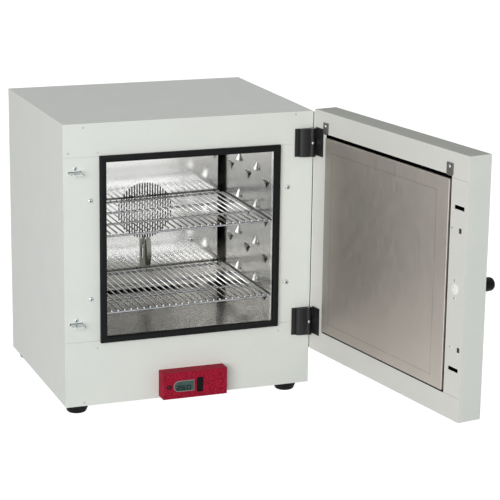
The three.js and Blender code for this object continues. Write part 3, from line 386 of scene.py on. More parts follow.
# Each finish by the surface that wears it: its name, its colour or the setting that holds it, metallic,
# roughness, size of its slow patches, their change of tone, size and depth of its grain, and what else
# sets it apart. Sizes and depths are in millimetres
FINISHES = {
    # Baked powder coat: satin, with a fine orange peel
    "body": ("Powder coat, greenish white", "body_paint", 0, 0.46, 60, 0.02, 1.8, 0.05, {"specular": 0.4}),
    "door_frame": ("Powder coat, pale grey", "frame_paint", 0, 0.46, 60, 0.02, 1.8, 0.05, {"specular": 0.4}),
    # The same coat on the door's top, which the studio light hardly reaches
    "door_top": ("Powder coat, shaded edge", "#C3C5BF", 0, 0.6, 60, 0.04, 1.8, 0.05, {"specular": 0.1}),
    # Painted shade: a matt grey strip that stands for the shaded slit beside the open door
    "strip": ("Painted shade, door gap strip", "#7C807C", 0, 0.7, 20, 0.05, 1.5, 0.02, {}),
    # Metallic speckle in red powder coat, drawn at about 2.4 mm so that it shows
    "box": (
        "Powder coat, speckled red", "box_paint", 0, 0.6, 2.4, 0.65, 2, 0.15,
        {"uneven": 0.3, "specular": 0.08},
    ),
    # Bright rolled stainless: mirrors softly, with fine lines front to back and a slow sag
    "liner": (
        "Stainless sheet, bright rolled", "liner_steel", 1, 0.2, 80, 0.06, 1.4, 0.01,
        {"stretch": (1, 0.05, 1), "sag": 0.25},
    ),
    # The same sheet with its lines from side to side, drawn darker: painted shade
    "floor": (
        "Stainless sheet, chamber floor", "#94928B", 1, 0.24, 80, 0.06, 1.4, 0.01,
        {"stretch": (0.05, 1, 1), "sag": 0.2},
    ),
    # The same sheet on the roof, drawn lighter: painted light from the front
    "roof": (
        "Stainless sheet, chamber roof", "#CFCECB", 1, 0.25, 80, 0.06, 1.4, 0.01,
        {"stretch": (0.05, 1, 1), "sag": 0.2},
    ),
    # A smoother sheet, which mirrors the walls and shelves more clearly
    "baffle": (
        "Stainless sheet, baffle", "#D8D8D6", 1, 0.14, 90, 0.02, 1.4, 0.002,
        {"stretch": UPRIGHT_LINES, "sag": 0.15, "uneven": 0.04},
    ),
    # Satin brushed stainless: dull grey with upright lines
    "panel": (
        "Stainless sheet, satin brushed", "panel_steel", 1, 0.5, 120, 0.05, 1.4, 0.01,
        {"stretch": UPRIGHT_LINES, "sag": 0.3},
    ),
    # The same sheet, drawn darker where a tool has pressed a line into it: painted shade of the pressed groove
    "line": (
        "Stainless sheet, pressed line", "#A19C96", 1, 0.5, 120, 0.05, 1.4, 0.01, {"stretch": UPRIGHT_LINES},
    ),
    # Bright chromium over nickel: mirrors sharply
    "chrome": ("Chromium plated wire", "#E2E4E6", 1, 0.14, 30, 0.05, 3, 0.003, {}),
    # The shelves' side wires, which catch the studio light from above and look white
    "rim": ("Chromium plated wire, lit", "#F6F6F4", 0.35, 0.4, 30, 0.2, 3, 0.003, {}),
    # The cross wires' plating, drawn darker than the thin wires: painted shade
    "rail": ("Chromium plated wire, painted shade", "#9C9EA0", 1, 0.24, 30, 0.25, 3, 0.003, {}),
    # Zinc plate: bluish, with a cloudy gloss
    "zinc": ("Zinc plated steel", "#C4C9CC", 1, 0.27, 8, 0.08, 2, 0.01, {"uneven": 0.25}),
    # Zinc plate that has gone dull
    "dull_zinc": ("Zinc plated steel, dull", "#8F9497", 1, 0.4, 8, 0.1, 2, 0.02, {"uneven": 0.25}),
    # Nickel plate: bright, with hardly any tint; on the chamber walls' front border it is a painted highlight
    "bright": ("Nickel plated steel and painted highlight", "#D2D4D4", 1, 0.18, 10, 0.06, 2, 0.005, {}),
    # Painted highlight: near white, on the hanging tabs' lit faces and on the slits' edges
    "crest": ("Stainless sheet, painted highlight", "#F6F6F4", 1, 0.42, 8, 0.03, 1.5, 0.002, {}),
    # Painted shade: the inside and the steep flanks of the pressed tabs, which see little light
    "cut": ("Stainless sheet, painted shade", "#4A4846", 1, 0.4, 6, 0.1, 1.5, 0.02, {}),
    # Extruded silicone: dull black with a faint bloom
    "seal": (
        "Silicone rubber, extruded", "rubber", 0, 0.62, 30, 0.15, 2, 0.03,
        {"stretch": (0.3, 1, 0.3), "specular": 0.15},
    ),
    # Moulded rubber: dead black and slightly rough
    "foot": ("Rubber, moulded", "#0A0A0A", 0, 0.65, 12, 0.15, 1.5, 0.06, {"specular": 0.15}),
    # Glass filled nylon: black with a grainy sheen
    "hinge": ("Glass filled nylon, black", "#131314", 0, 0.5, 12, 0.12, 1.4, 0.03, {"specular": 0.35}),
    # Phenolic moulding: smooth black with broad highlights
    "knob": ("Phenolic moulding", "#060607", 0, 0.4, 14, 0.1, 1.4, 0.02, {"specular": 0.12}),
    # Blackened spring steel: dark grey with a weak gloss
    "clip": ("Spring steel, blackened", "#7D7B78", 1, 0.42, 6, 0.12, 1.5, 0.02, {}),
    # Natural nylon: clean white with a satin gloss
    "nylon": ("Nylon, natural white", "#F4F4EE", 0, 0.4, 14, 0.03, 1.4, 0.03, {}),
    # Painted shade: the dark inside of a drilled hole, a slot or a recess
    "hole": ("Painted shade, hole and recess", "#26241F", 0, 0.8, 3, 0.2, 1, 0.02, {}),
    # Smoked plastic over the unlit display: greenish and cloudy, with a gloss
    "window": ("Polycarbonate window, smoked", "#35504C", 0, 0.2, 9, 0.5, 3, 0.01, {"specular": 0.3}),
    # Moulded bezel: mid grey with a soft gloss
    "bezel": ("ABS, grey", "#8A7F7E", 0, 0.35, 12, 0.06, 1.5, 0.01, {}),
    # Liquid crystal strokes: almost black
    "segment": ("Liquid crystal stroke", "#060A0A", 0, 0.6, 8, 0.1, 2, 0.002, {"specular": 0.1}),
    # Tinted acrylic with its lamp off: very dark red
    "lens": ("Acrylic lens, dark red", "#4A0A12", 0, 0.3, 6, 0.1, 2, 0.002, {"specular": 0.2}),
    # Matt ABS: deep black
    "rocker": ("ABS, matt black", "#09090A", 0, 0.55, 12, 0.1, 1.4, 0.02, {"specular": 0.12}),
    # Glass epoxy under green mask
    "board": ("Glass epoxy board", "#2F6B45", 0, 0.5, 6, 0.15, 1.2, 0.02, {}),
    # A folded seam, drawn a little darker than its paint: painted shade of its groove
    "seam": ("Powder coat seam, painted shade", "#A9A9A3", 0, 0.7, 20, 0.04, 1.8, 0.05, {}),
    # Painted shade: sheet metal deep behind the grille, drawn dark
    "dim": ("Steel sheet, painted shade", "#5C5B5E", 1, 0.5, 30, 0.15, 2, 0.02, {}),
    # Bimetal leaf: a dull olive grey
    "leaf": ("Bimetal leaf", "#8E8F86", 1, 0.38, 10, 0.08, 1.5, 0.01, {}),
    # Black glass tissue that faces the door's filling, kept dead black as painted shade where it shows in the
    # door's gaps; the same finish is the painted shade of the gap below the panel
    "tissue": ("Glass tissue, black, and painted gap shade", "#050505", 0, 0.9, 10, 0.2, 1.5, 0.05, {"specular": 0.0}),
    # Cast aluminium, shot blasted: pale and matt
    "nose": ("Cast aluminium, blasted", "#F2F2F0", 0.2, 0.7, 8, 0.05, 1.5, 0.02, {}),
    # Mineral wool: a dull yellowish mat of short fibres
    "wool": ("Mineral wool", "#BFAE7C", 0, 0.95, 12, 0.3, 2, 0.8, {"stretch": (1, 4, 1)}),
}
finishes = {}


def make_finishes(colours):
    """Makes every finish in the table and keeps it by the surface that wears it."""
    for surface, (name, colour, *values, extras) in FINISHES.items():
        colour = linear(colour) if colour.startswith("#") else getattr(colours, colour)
        finishes[surface] = make_finish(name, colour, *values, **extras)


# Operators


class OBJECT_OT_drying_cabinet_stage(bpy.types.Operator):
    """Camera, softbox, even sky and a plain pale floor."""

    bl_idname = "object.drying_cabinet_stage"
    bl_label = "Stage"

    azimuth = radians(-21.153)
    elevation = radians(14.605)
    roll = radians(0.789)
    camera_place = at(-1270.45, 1321.87, -3629.01)
    key_distance = 4.0
    key_size = 2.6
    key_azimuth = radians(-36)
    key_elevation = radians(9)
    floor_size = 24.0
    floor_glow = 0.9

    def execute(self, context):
        self.set_camera(context)
        self.set_world(context)
        self.set_key(context)
        self.set_floor(context)
        context.scene.view_settings.view_transform = "Standard"
        return {"FINISHED"}

    def set_camera(self, context):
        camera = bpy.data.objects.new("Camera", bpy.data.cameras.new("Camera"))
        context.scene.collection.objects.link(camera)
        camera.data.sensor_width = 36
        camera.data.lens = context.scene.drying_cabinet_stage.lens
        camera.data.clip_start = 0.1
        camera.data.clip_end = 60
        a, e = self.azimuth, self.elevation
        ahead = Vector((-sin(a) * cos(e), cos(a) * cos(e), -sin(e)))
        right = ahead.cross(Vector((0, 0, 1))).normalized()
        up = right.cross(ahead)
        tilted_right = cos(self.roll) * right + sin(self.roll) * up
        tilted_up = cos(self.roll) * up - sin(self.roll) * right
        turn = Matrix((tilted_right, tilted_up, -ahead)).transposed()
        camera.matrix_world = Matrix.Translation(self.camera_place) @ turn.to_4x4()
        context.scene.camera = camera

    def seen_rays(self, tree):
        """One for the rays of the eye and for those that mirrors and glass send on, and else nought."""
        rays = add_node(tree, "ShaderNodeLightPath", {}).node.outputs
        seen = rays["Is Camera Ray"]
        for kind in ("Is Glossy Ray", "Is Transmission Ray"):
            seen = add_node(tree, "ShaderNodeMath", {0: seen, 1: rays[kind]}, operation="MAXIMUM")
        return seen

    def set_world(self, context):
        """Even light at the sky's level, and plain white to the eye and in mirrors."""
        world = bpy.data.worlds.new("Studio")
        context.scene.world = world
        world.use_nodes = True
        tree = world.node_tree
        tree.nodes.clear()
        level = {"Value": self.seen_rays(tree), "To Min": context.scene.drying_cabinet_stage.sky}
        level = add_node(tree, "ShaderNodeMapRange", level)
        sky = add_node(tree, "ShaderNodeBackground", {"Color": (1, 1, 1, 1), "Strength": level})
        add_node(tree, "ShaderNodeOutputWorld", {"Surface": sky})

    def set_key(self, context):
        """A large softbox beside the camera, on its left and a little above the bench."""
        lamp = bpy.data.lights.new("Softbox", "AREA")
        lamp.shape = "SQUARE"
        lamp.size = self.key_size
        lamp.energy = context.scene.drying_cabinet_stage.key_power
        key = bpy.data.objects.new("Softbox", lamp)
        context.scene.collection.objects.link(key)
        a, e = self.key_azimuth, self.key_elevation
        way = Vector((sin(a) * cos(e), -cos(a) * cos(e), sin(e)))
        middle = (CAD_BOX[0] + CAD_BOX[1]) / 2
        key.matrix_world = along(middle + way * self.key_distance, way)

    def set_floor(self, context):
        """A pale floor at the feet's soles, white to the eye apart from the soft shadow."""
        shape = bmesh.new()
        bmesh.ops.create_grid(shape, x_segments=1, y_segments=1, size=self.floor_size / 2)
        bmesh.ops.translate(shape, vec=(0, 0, SOLES), verts=shape.verts)
        mesh = bpy.data.meshes.new("Floor")
        shape.to_mesh(mesh)
        shape.free()
        floor = bpy.data.objects.new("Floor", mesh)
        context.scene.collection.objects.link(floor)
        paper = {"Specular IOR Level": 0.0, "Emission Color": (1, 1, 1, 1)}
        made, tree, sockets = new_material("Paper backdrop, white", linear("#C9C9C9"), 0, 0.9, paper)
        glow = {0: self.seen_rays(tree), 1: self.floor_glow}
        glow = add_node(tree, "ShaderNodeMath", glow, operation="MULTIPLY")
        tree.links.new(glow, sockets["Emission Strength"])
        mesh.materials.append(made)


class OBJECT_OT_drying_cabinet_finishes(bpy.types.Operator):
    """Makes the finishes and gives each CAD node its own."""

    bl_idname = "object.drying_cabinet_finishes"
    bl_label = "Finishes"

    by_slot = {
        "body_paint": "body", "frame_paint": "door_frame", "liner_steel": "liner", "panel_steel": "panel",
        "bright_steel": "bright", "shelf_chrome": "chrome", "plain_steel": "dull_zinc",
        "seal_rubber": "seal", "foot_rubber": "foot", "black_plastic": "hinge", "dark_plastic": "clip",
        "red_paint": "box", "window": "window", "lens": "lens", "nylon": "nylon", "wool": "wool",
        "board": "board",
    }
    by_node = {
        "air_baffle": "baffle", "liner_back": "baffle", "liner_floor": "floor", "liner_roof": "roof",
        # The fan, its shaft, the heater and the motor's bracket behind the grille wear painted shade
        "fan_impeller": "dim", "fan_shaft": "dim", "heater_element": "dim", "motor_bracket": "dim",
        "door_insulation": "tissue",
    }

    def execute(self, context):
        make_finishes(context.scene.drying_cabinet_finishes)
        for row in frame["record"]["subparts"]:
            node = frame["nodes"][row["node"]]
            node.data.materials.clear()
            node.data.materials.append(finishes[self.by_slot[row["material_slot"]]])
        for node, finish in self.by_node.items():
            frame["nodes"][node].data.materials[0] = finishes[finish]
        return {"FINISHED"}


class OBJECT_OT_drying_cabinet_casing(bpy.types.Operator):
    """Folded and painted sheets of the body, their drilled holes and the strip beside the open door; the holes'
    dark discs and the strip are painted shade.
    """

    bl_idname = "object.drying_cabinet_casing"
    bl_label = "Casing"

    frame_ease = 0.35 * MM
    # The drilled holes, in millimetres right of the middle and above the underside
    holes = (
        (-262.3, 540), (-200.3, 539), (-203.3, 124), (202, 122.6), (-230, 591.5), (233, 594), (-233, 7),
    )
    # A hole's mouth, a dark disc of painted shade with a thin rim just proud of its sheet, as radii and heights in
    # millimetres
    mouth = ((0, 0.02), (1.36, 0.02), (1.7, 0.16), (1.955, 0), (0, -0.1))
    # The grey strip of painted shade that closes the slit beside the open door, from its lowest to its highest
    # corner
    strip = (at(273.05, 78, 2.1), at(276.4, 598, 3))
    strip_ease = 0.2 * MM

    def execute(self, context):
        ease = context.scene.drying_cabinet_sizes.sheet_ease
        for node in ("outer_wrap", "rear_cover"):
            eased(node, "cabinet", "body", ease, keep=on_border(node))
        for node in ("front_rail_top", "front_rail_bottom", "front_stile_left", "front_stile_right"):
            eased(node, "cabinet", "body", self.frame_ease, 2, on_border(node))
        shape = bmesh.new()
        for x, z in self.holes:
            turned(shape, in_mm(self.mouth), along(at(x, z, 0.05), (0, -1, 0)), 16)
        piece("casing_holes", shape, "cabinet", ["hole"], easy=False)
        # Painted shade: a grey strip where the slit beside the open door lies in shade
        shape = bmesh.new()
        slab(shape, *self.strip, self.strip_ease)
        piece("gap_shade_strip", shape, "cabinet", ["strip"])
        return {"FINISHED"}


class OBJECT_OT_drying_cabinet_chamber(bpy.types.Operator):
    """Chamber walls with pressed shelf tabs, the sensor under the grille and the fan's nose."""

    bl_idname = "object.drying_cabinet_chamber"
    bl_label = "Chamber"

    # The fan's nose, as radii and heights in millimetres
    nose = ((0, 0.3), (29, 0.3), (29.8, 0), (29.8, -1), (0, -1))
    # What a wall wears: its sheet, painted shade on the tabs, the border at its front as a painted highlight, and
    # painted highlight on the tabs' lit faces
    surfaces = ("liner", "cut", "bright", "crest")
    # The border at the walls' front, a painted highlight for the sheet's rolled edge: its width and how far it
    # stands out
    border_width = 9 * MM
    border_rise = 0.8 * MM
    # A tab's tip as a share of its mouth, the tip's rounding, its hollow's slope and how far it is let in
    tab_tip = 0.16
    tip_round = 1.2 * MM
    hollow = (0.8 * MM, 0, -5 * MM)
    let_in = 0.2 * MM
    # A flank whose normal has less y than this is painted in shade, on tabs that stand (1) and that hang (-1)
    flank_limit = {1: -0.12, -1: 0.45}
    # A standing tab's face whose normal has less y than this either way is its crest
    crest_limit = 0.3
    # The slit's edge, a painted highlight: how far it stands out of the wall, and its span above the tab's mouth
    slit_rise = 0.5 * MM
    slit_span = (0.4 * MM, 2.6 * MM)

    def execute(self, context):
        for side, node in ((-1, "liner_wall_left"), (1, "liner_wall_right")):
            self.build_wall(side, node)
        eased("sensor_strip", "cabinet", "leaf", 0.2 * MM, 2)
        eased("temperature_probe", "cabinet", "bright", 0.2 * MM, 2, smooth=60)
        self.face_fan()
        return {"FINISHED"}

    def face_fan(self):
        """The impeller's nose, a bright turned disc round the shaft's nut."""
        low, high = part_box("fan_impeller")
        middle = (low + high) / 2
        shape = bmesh.new()
        turned(shape, in_mm(self.nose), along((middle.x, low.y, middle.z), (0, -1, 0)), 48)
        piece("fan_nose", shape, "fan", ["nose"], smooth=30)

    def build_wall(self, side, node):
        """A side wall, its border in a painted highlight and rows of three standing and two hanging tabs."""
        low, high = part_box(node)
        outer = high.x if side > 0 else low.x
        inner = outer - side * LINER_SHEET
        shape = bmesh.new()
        left, right = sorted((inner, outer))
        slab(shape, (left, low.y, low.z), (right, high.y, high.z), 0.3 * MM)
        # Painted highlight: the front border wears the bright nickel finish for the sheet's rolled edge
        left, right = sorted((inner, inner - side * self.border_rise))
        bright, border = self.surfaces.index("bright"), low.y + self.border_width
        slab(shape, (left, low.y, low.z), (right, border, high.z), 0.35 * MM, finish=bright)
        for row in range(TAB_ROWS):
            top = TAB_TOP - row * TAB_ROW_PITCH - (LEFT_TAB_DROP if side < 0 else 0)
            for i in range(3):
                self.press_tab(shape, side, inner, at(0, top, TAB_FIRST + i * TAB_PITCH), 1)
            for i in range(2):
                spot = at(0, top + TAB_SLOT, TAB_FIRST + (i + 0.5) * TAB_PITCH)
                self.press_tab(shape, side, inner, spot, -1)
        piece(node + "_pressed", shape, "cabinet", self.surfaces, [node], 40)

    def press_tab(self, shape, side, inner, spot, upright):
        """A half cone pushed out of the wall, hollow at its mouth, with a painted highlight along the slit's edge
        beside it.
        """
        fresh = bmesh.new()
        bmesh.ops.create_cone(fresh, cap_ends=True, segments=32, radius1=1, radius2=self.tab_tip, depth=1)
        bmesh.ops.scale(fresh, vec=(1, 1, -1), verts=fresh.verts)
        bmesh.ops.translate(fresh, vec=(0, 0, -0.5), verts=fresh.verts)
        bmesh.ops.bisect_plane(
            fresh, geom=fresh.verts[:] + fresh.edges[:] + fresh.faces[:], plane_co=(0, 0, 0),
            plane_no=(1, 0, 0), clear_outer=True,
        )
        bmesh.ops.edgeloop_fill(fresh, edges=[e for e in fresh.edges if e.is_boundary])
        bmesh.ops.scale(fresh, vec=TAB_SIZE, verts=fresh.verts)
        rim = [e for e in fresh.edges if all(v.co.z < -0.9 * TAB_SIZE.z for v in e.verts)]
        bevel(fresh, rim, self.tip_round, 3)
        mouth = [f for f in fresh.faces if all(near(v.co.z, 0) for v in f.verts)]
        bmesh.ops.inset_region(fresh, faces=mouth, thickness=LINER_SHEET, depth=0)
        mouth = [f for f in mouth if f.is_valid]
        pushed = bmesh.ops.extrude_face_region(fresh, geom=mouth)["geom"]
        floor = [g for g in pushed if isinstance(g, bmesh.types.BMFace)]
        bmesh.ops.translate(fresh, vec=self.hollow, verts=list({v for f in floor for v in f.verts}))
        bmesh.ops.delete(fresh, geom=[f for f in mouth if f.is_valid], context="FACES_ONLY")
        inside = {f for g in floor for e in g.edges for f in e.link_faces}
        fresh.normal_update()
        # Painted shade on the tab's hollow and on flanks that face away, painted highlight on a hanging tab's
        # other faces; a standing tab's crest keeps the sheet
        for face in fresh.faces:
            flank = face.normal.y < self.flank_limit[upright] and face.normal.x < 0
            crest = abs(face.normal.y) < self.crest_limit and upright > 0
            shaded = face in inside or flank and not crest
            surface = "cut" if shaded else "crest" if upright < 0 else "liner"
            face.material_index = self.surfaces.index(surface)
        stand = Matrix.Translation((inner + side * self.let_in, spot.y, spot.z))
        place(shape, fresh, stand @ Matrix.Diagonal((side, 1, upright, 1)), None)
        if upright > 0:
            left, right = sorted((inner, inner - side * self.slit_rise))
            foot, head = self.slit_span
            low = (left, spot.y - TAB_SIZE.y, spot.z + foot)
            high = (right, spot.y + TAB_SIZE.y, spot.z + head)
            slab(shape, low, high, finish=self.surfaces.index("crest"))


class OBJECT_OT_drying_cabinet_seal(bpy.types.Operator):
    """The rubber seal round the chamber, with a rounded front and mitred corners."""

    bl_idname = "object.drying_cabinet_seal"
    bl_label = "Seal"

    def execute(self, context):
        width = context.scene.drying_cabinet_sizes.seal_round
        eased("door_gasket", "cabinet", "seal", width, 6, self.at_front, smooth=50)
        return {"FINISHED"}

    @staticmethod
    def at_front(edge):
        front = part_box("door_gasket")[0].y
        return all(near(v.co.y, front) for v in edge.verts)


class OBJECT_OT_drying_cabinet_shelves(bpy.types.Operator):
    """Two welded wire shelves."""

    bl_idname = "object.drying_cabinet_shelves"
    bl_label = "Shelves"

    # What the thin wires, the side wires and the cross wires wear; the side wires' white is a painted highlight
    # and the cross wires' grey is painted shade
    surfaces = ("chrome", "rim", "rail")
    # How far the side wires reach past the outer cross wires, and how far the thin wires sink in
    reach = SHELF_FRAME_WIRE * 0.6
    weld = 0.5 * MM

    def execute(self, context):
        sides = context.scene.drying_cabinet_sizes.wire_sides
        for node, body in (("shelf_upper", "upper_shelf"), ("shelf_lower", "lower_shelf")):
            self.weld_shelf(node, body, sides)
        return {"FINISHED"}

    def weld_shelf(self, node, body, sides):
        """Thin wires on thick cross wires between two thick side wires, leaning as the shelf lies."""
        low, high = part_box(node)
        shape = bmesh.new()
        thick, thin = SHELF_FRAME_WIRE, SHELF_WIRE
        level = low.z + thick
        left, right = low.x + thick, high.x - thick
        front, back = low.y + thick, high.y - thick
        for x in (left, right):
            start, end = (x, front - self.reach, level), (x, back + self.reach, level)
            rod(shape, start, end, thick, sides, 0.8 * MM, self.surfaces.index("rim"))
        for i in range(SHELF_CROSS_WIRES):
            y = front + (back - front) * i / (SHELF_CROSS_WIRES - 1)
            rod(shape, (left, y, level), (right, y, level), thick, sides, finish=self.surfaces.index("rail"))
        over = level + thick + thin - self.weld
        for i in range(-SHELF_SIDE_WIRES, SHELF_SIDE_WIRES + 1):
            x = (left + right) / 2 + i * SHELF_PITCH
            rod(shape, (x, front - thin, over), (x, back + thin, over), thin, sides, 0.5 * MM)
        lean = atan2(LEFT_TAB_DROP * MM, right - left)
        turn = Matrix.Rotation(-lean, 3, "Y")
        bmesh.ops.rotate(shape, cent=(left, 0, level), matrix=turn, verts=shape.verts)
        piece(node + "_welded", shape, body, self.surfaces, [node], 60, easy=False)


class OBJECT_OT_drying_cabinet_door(bpy.types.Operator):
    """The door's skin, inner frame and stainless panel, with clips, screws and seams."""

    bl_idname = "object.drying_cabinet_door"
    bl_label = "Door"

    inner = FRONT - 15 * MM
    edge = at(273, 0).x
    # Places on the inner face, in millimetres from the hinge edge and above the underside
    screws = ((502, 457), (512, 223), (517.5, 356.7), (517.7, 321.3))
    holes = ((527, 456), (536, 222))
    # Half a hole's width and half its height, in millimetres
    hole_half = (4, 5)
    # The pressed line: its span and heights, its width, and the two levels between which it lies
    line = ((75, 452), (150, 523))
    line_width = 1.7
    line_levels = (3.2 * MM, 3.54 * MM)
    # From where to where the seams and the painted shade of the gap below the panel run, how far off the panel
    # they lie and how tall they are
    seam = (495, 545)
    seam_gap = 3.5 * MM
    seam_half = 0.4 * MM
    gap_shade_span = (47, 493)
    gap_shade_drop = 4.7 * MM
    gap_shade_tall = 1.5 * MM
    # Each clip's middle from the hinge edge, its width and its node
    clips = ((47, 17.5, "door_clip_hinge_side"), (488.5, 20, "door_clip_free_side"))
    clip_low = at(0, 557).z
    clip_high = at(0, 582).z
    clip_thick = 2.2 * MM
    clip_middle = inner + 1.6 * MM
    clip_foot_round = 5 * MM
    rivet_drop = 7 * MM

    def execute(self, context):
        ease = context.scene.drying_cabinet_sizes.sheet_ease
        skin = eased("door_skin", "door", "body", ease, 3, on_border("door_skin", DOOR), DOOR)
        self.shade_top(skin.data)
        for node, slot, surface, width, segments in (
            ("door_frame", "frame_paint", "door_frame", 0.4 * MM, 2),
            ("door_panel", "panel_steel", "panel", 1.6 * MM, 4),
        ):
            eased(node, "door", surface, width, segments, on_border(node, DOOR), DOOR)
        self.fit_clips()
        self.fit_small_parts()
        self.press_line()
        self.lay_gap_shade()
        return {"FINISHED"}

    def shade_top(self, mesh):
        """Gives the skin's top, which lies away from the light, a finish of its own."""
        mesh.materials.append(finishes["door_top"])
        high = max(v.co.z for v in mesh.vertices)
        for face in mesh.polygons:
            looks_up = face.normal.z > 0.9
            if looks_up and face.center.z > high - 1 * MM:
                face.material_index = 1

    def lay(self, shape, span, low, high, under, over, ease=0.0):
        """A bar on the shut door's inner face: its span, its lowest and highest z, and its two levels."""
        right, left = (self.edge - u * MM for u in span)
        slab(shape, (left, self.inner + under, low), (right, self.inner + over, high), ease, DOOR)

    def fit_clips(self):
        """Dark spring clips with a rounded foot and a bright rivet."""
        for u, width, node in self.clips:
            shape, fresh = bmesh.new(), bmesh.new()
            tall = self.clip_high - self.clip_low
            middle = Vector((self.edge - u * MM, self.clip_middle, self.clip_low + tall / 2))
            bmesh.ops.create_cube(fresh, size=1)
            bmesh.ops.scale(fresh, vec=(width * MM, self.clip_thick, tall), verts=fresh.verts)
            bmesh.ops.translate(fresh, vec=middle, verts=fresh.verts)
            foot = [
                e for e in fresh.edges
                if all(v.co.z < middle.z for v in e.verts) and not near(*[v.co.y for v in e.verts])
            ]
            bevel(fresh, foot, self.clip_foot_round, 5)
            bevel(fresh, sharp_edges(fresh), 0.4 * MM, 2)
            place(shape, fresh, DOOR)
            face = self.clip_middle + self.clip_thick / 2
            rivet = along((middle.x, face, self.clip_high - self.rivet_drop), (0, 1, 0))
            turned(shape, dome(3.1 * MM, 1.3 * MM), DOOR @ rivet, 20, 1)
            piece(node + "_sprung", shape, "door", ["clip", "bright"], [node])

    def fit_small_parts(self):
        """Slotted screws and small slots on the free side, and the seams above and below the panel; the slots, the
        screws' slots and the seams are painted shade.
        """
        shape = bmesh.new()
        for u, z in self.screws:
            stand = DOOR @ along((self.edge - u * MM, self.inner, BASE + z * MM), (0, 1, 0))
            turned(shape, dome(3.2 * MM, 1.2 * MM), stand, 20)
            slab(shape, (-2 * MM, -0.4 * MM, 0), (2 * MM, 0.4 * MM, 1.26 * MM), 0, stand, 1)
        piece("door_screws", shape, "door", ["zinc", "hole"], easy=False)
        shape = bmesh.new()
        wide, tall = self.hole_half
        for u, z in self.holes:
            low, high = BASE + (z - tall) * MM, BASE + (z + tall) * MM
            self.lay(shape, (u - wide, u + wide), low, high, -0.3 * MM, 0.12 * MM, 0.1 * MM)
        piece("door_slots", shape, "door", ["hole"], easy=False)
        # The seams above and below the panel: thin dark lines of painted shade
        shape = bmesh.new()
        low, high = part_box("door_panel")
        for z in (low.z - self.seam_gap, high.z + self.seam_gap):
            self.lay(shape, self.seam, z - self.seam_half, z + self.seam_half, -0.2 * MM, 0.05 * MM)
        piece("door_seams", shape, "door", ["seam"], easy=False)

    def press_line(self):
        """A faint line pressed into the panel all round, drawn darker as painted shade."""
        shape = bmesh.new()
        (start, end), (foot, head) = self.line
        wide = self.line_width
        bars = [(start, start + wide, foot, head), (end - wide, end, foot, head)]
        bars += [(start + wide, end - wide, z, z + wide) for z in (foot, head - wide)]
        for u, v, low, high in bars:
            self.lay(shape, (u, v), BASE + low * MM, BASE + high * MM, *self.line_levels)
        piece("panel_line", shape, "door", ["line"], easy=False)

    def lay_gap_shade(self):
        """Painted shade: a black bar for the dark gap below the panel."""
        shape = bmesh.new()
        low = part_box("door_panel")[0].z - self.gap_shade_drop
        self.lay(shape, self.gap_shade_span, low, low + self.gap_shade_tall, -0.2 * MM, 0.1 * MM)
        piece("panel_gap_shade", shape, "door", ["tissue"], easy=False)


class OBJECT_OT_drying_cabinet_hinges(bpy.types.Operator):
    """Black hinges with eased edges and a bright domed screw."""

    bl_idname = "object.drying_cabinet_hinges"
    bl_label = "Hinges"

    screw_across = at(267.8, 0).x
    screw_proud = 14.4 * MM

    def execute(self, context):
        shape = bmesh.new()
        for where in ("upper", "lower"):
            body_leaf, door_leaf = "hinge_leaf_body_" + where, "hinge_leaf_door_" + where
            eased(body_leaf, "cabinet", "hinge", 0.5 * MM, 2, smooth=40)
            eased(door_leaf, "door", "hinge", 0.4 * MM, 2, matrix=DOOR)
            low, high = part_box(body_leaf)
            spot = (self.screw_across, FRONT - self.screw_proud, (low.z + high.z) / 2)
            turned(shape, dome(3.0 * MM, 0.5 * MM), along(spot, (0, -1, 0)), 20)
        piece("hinge_screws", shape, "cabinet", ["bright"], easy=False)
        return {"FINISHED"}


class OBJECT_OT_drying_cabinet_latch(bpy.types.Operator):
    """Strikes, knob and spindle bush."""

    bl_idname = "object.drying_cabinet_latch"
    bl_label = "Latch"

    # Radii and heights in millimetres, and where on the shut door they begin
    knob = (
        (0, -1), (8.6, -1), (9, 0), (9, 4.2), (11.6, 6), (13.4, 9), (13.8, 12), (13.8, 27), (13.2, 30.4),
        (11.6, 32.8), (8, 34.1), (4, 34.4), (0, 34.4),
    )
    knob_seat = FRONT - 68.6 * MM
    bush = (
        (0, -8.5), (7.3, -8.5), (7.4, 0.2), (10.6, 0.25), (11, 0.7), (11, 1.6), (10, 2.5), (4, 2.9), (3, 2.9),
        (2.4, 2.2), (0, 2.2),
    )
    bush_seat = FRONT - 15 * MM

    def execute(self, context):
        for node in ("strike_upper", "strike_lower"):
            eased(node, "cabinet", "zinc", 0.5 * MM, 2)
        self.turn("door_knob", "knob", "black_plastic", "knob", self.knob, self.knob_seat, -1)
        self.turn("spindle_bush", "door", "nylon", "nylon", self.bush, self.bush_seat, 1)
        return {"FINISHED"}

    def turn(self, node, body, slot, surface, profile, seat, way):
        """A turned piece on the knob's axis, whose heights run back (1) or forward (-1) from its seat."""
        axis = next(j for j in frame["joints"] if j["name"] == "knob_turn")
        shut = DOOR.inverted() @ Vector(axis["pos_m"])
        shape = bmesh.new()
        turned(shape, in_mm(profile), DOOR @ along((shut.x, seat, shut.z), (0, way, 0)), 40)
        piece(node + "_turned", shape, body, [surface], [node], 45)


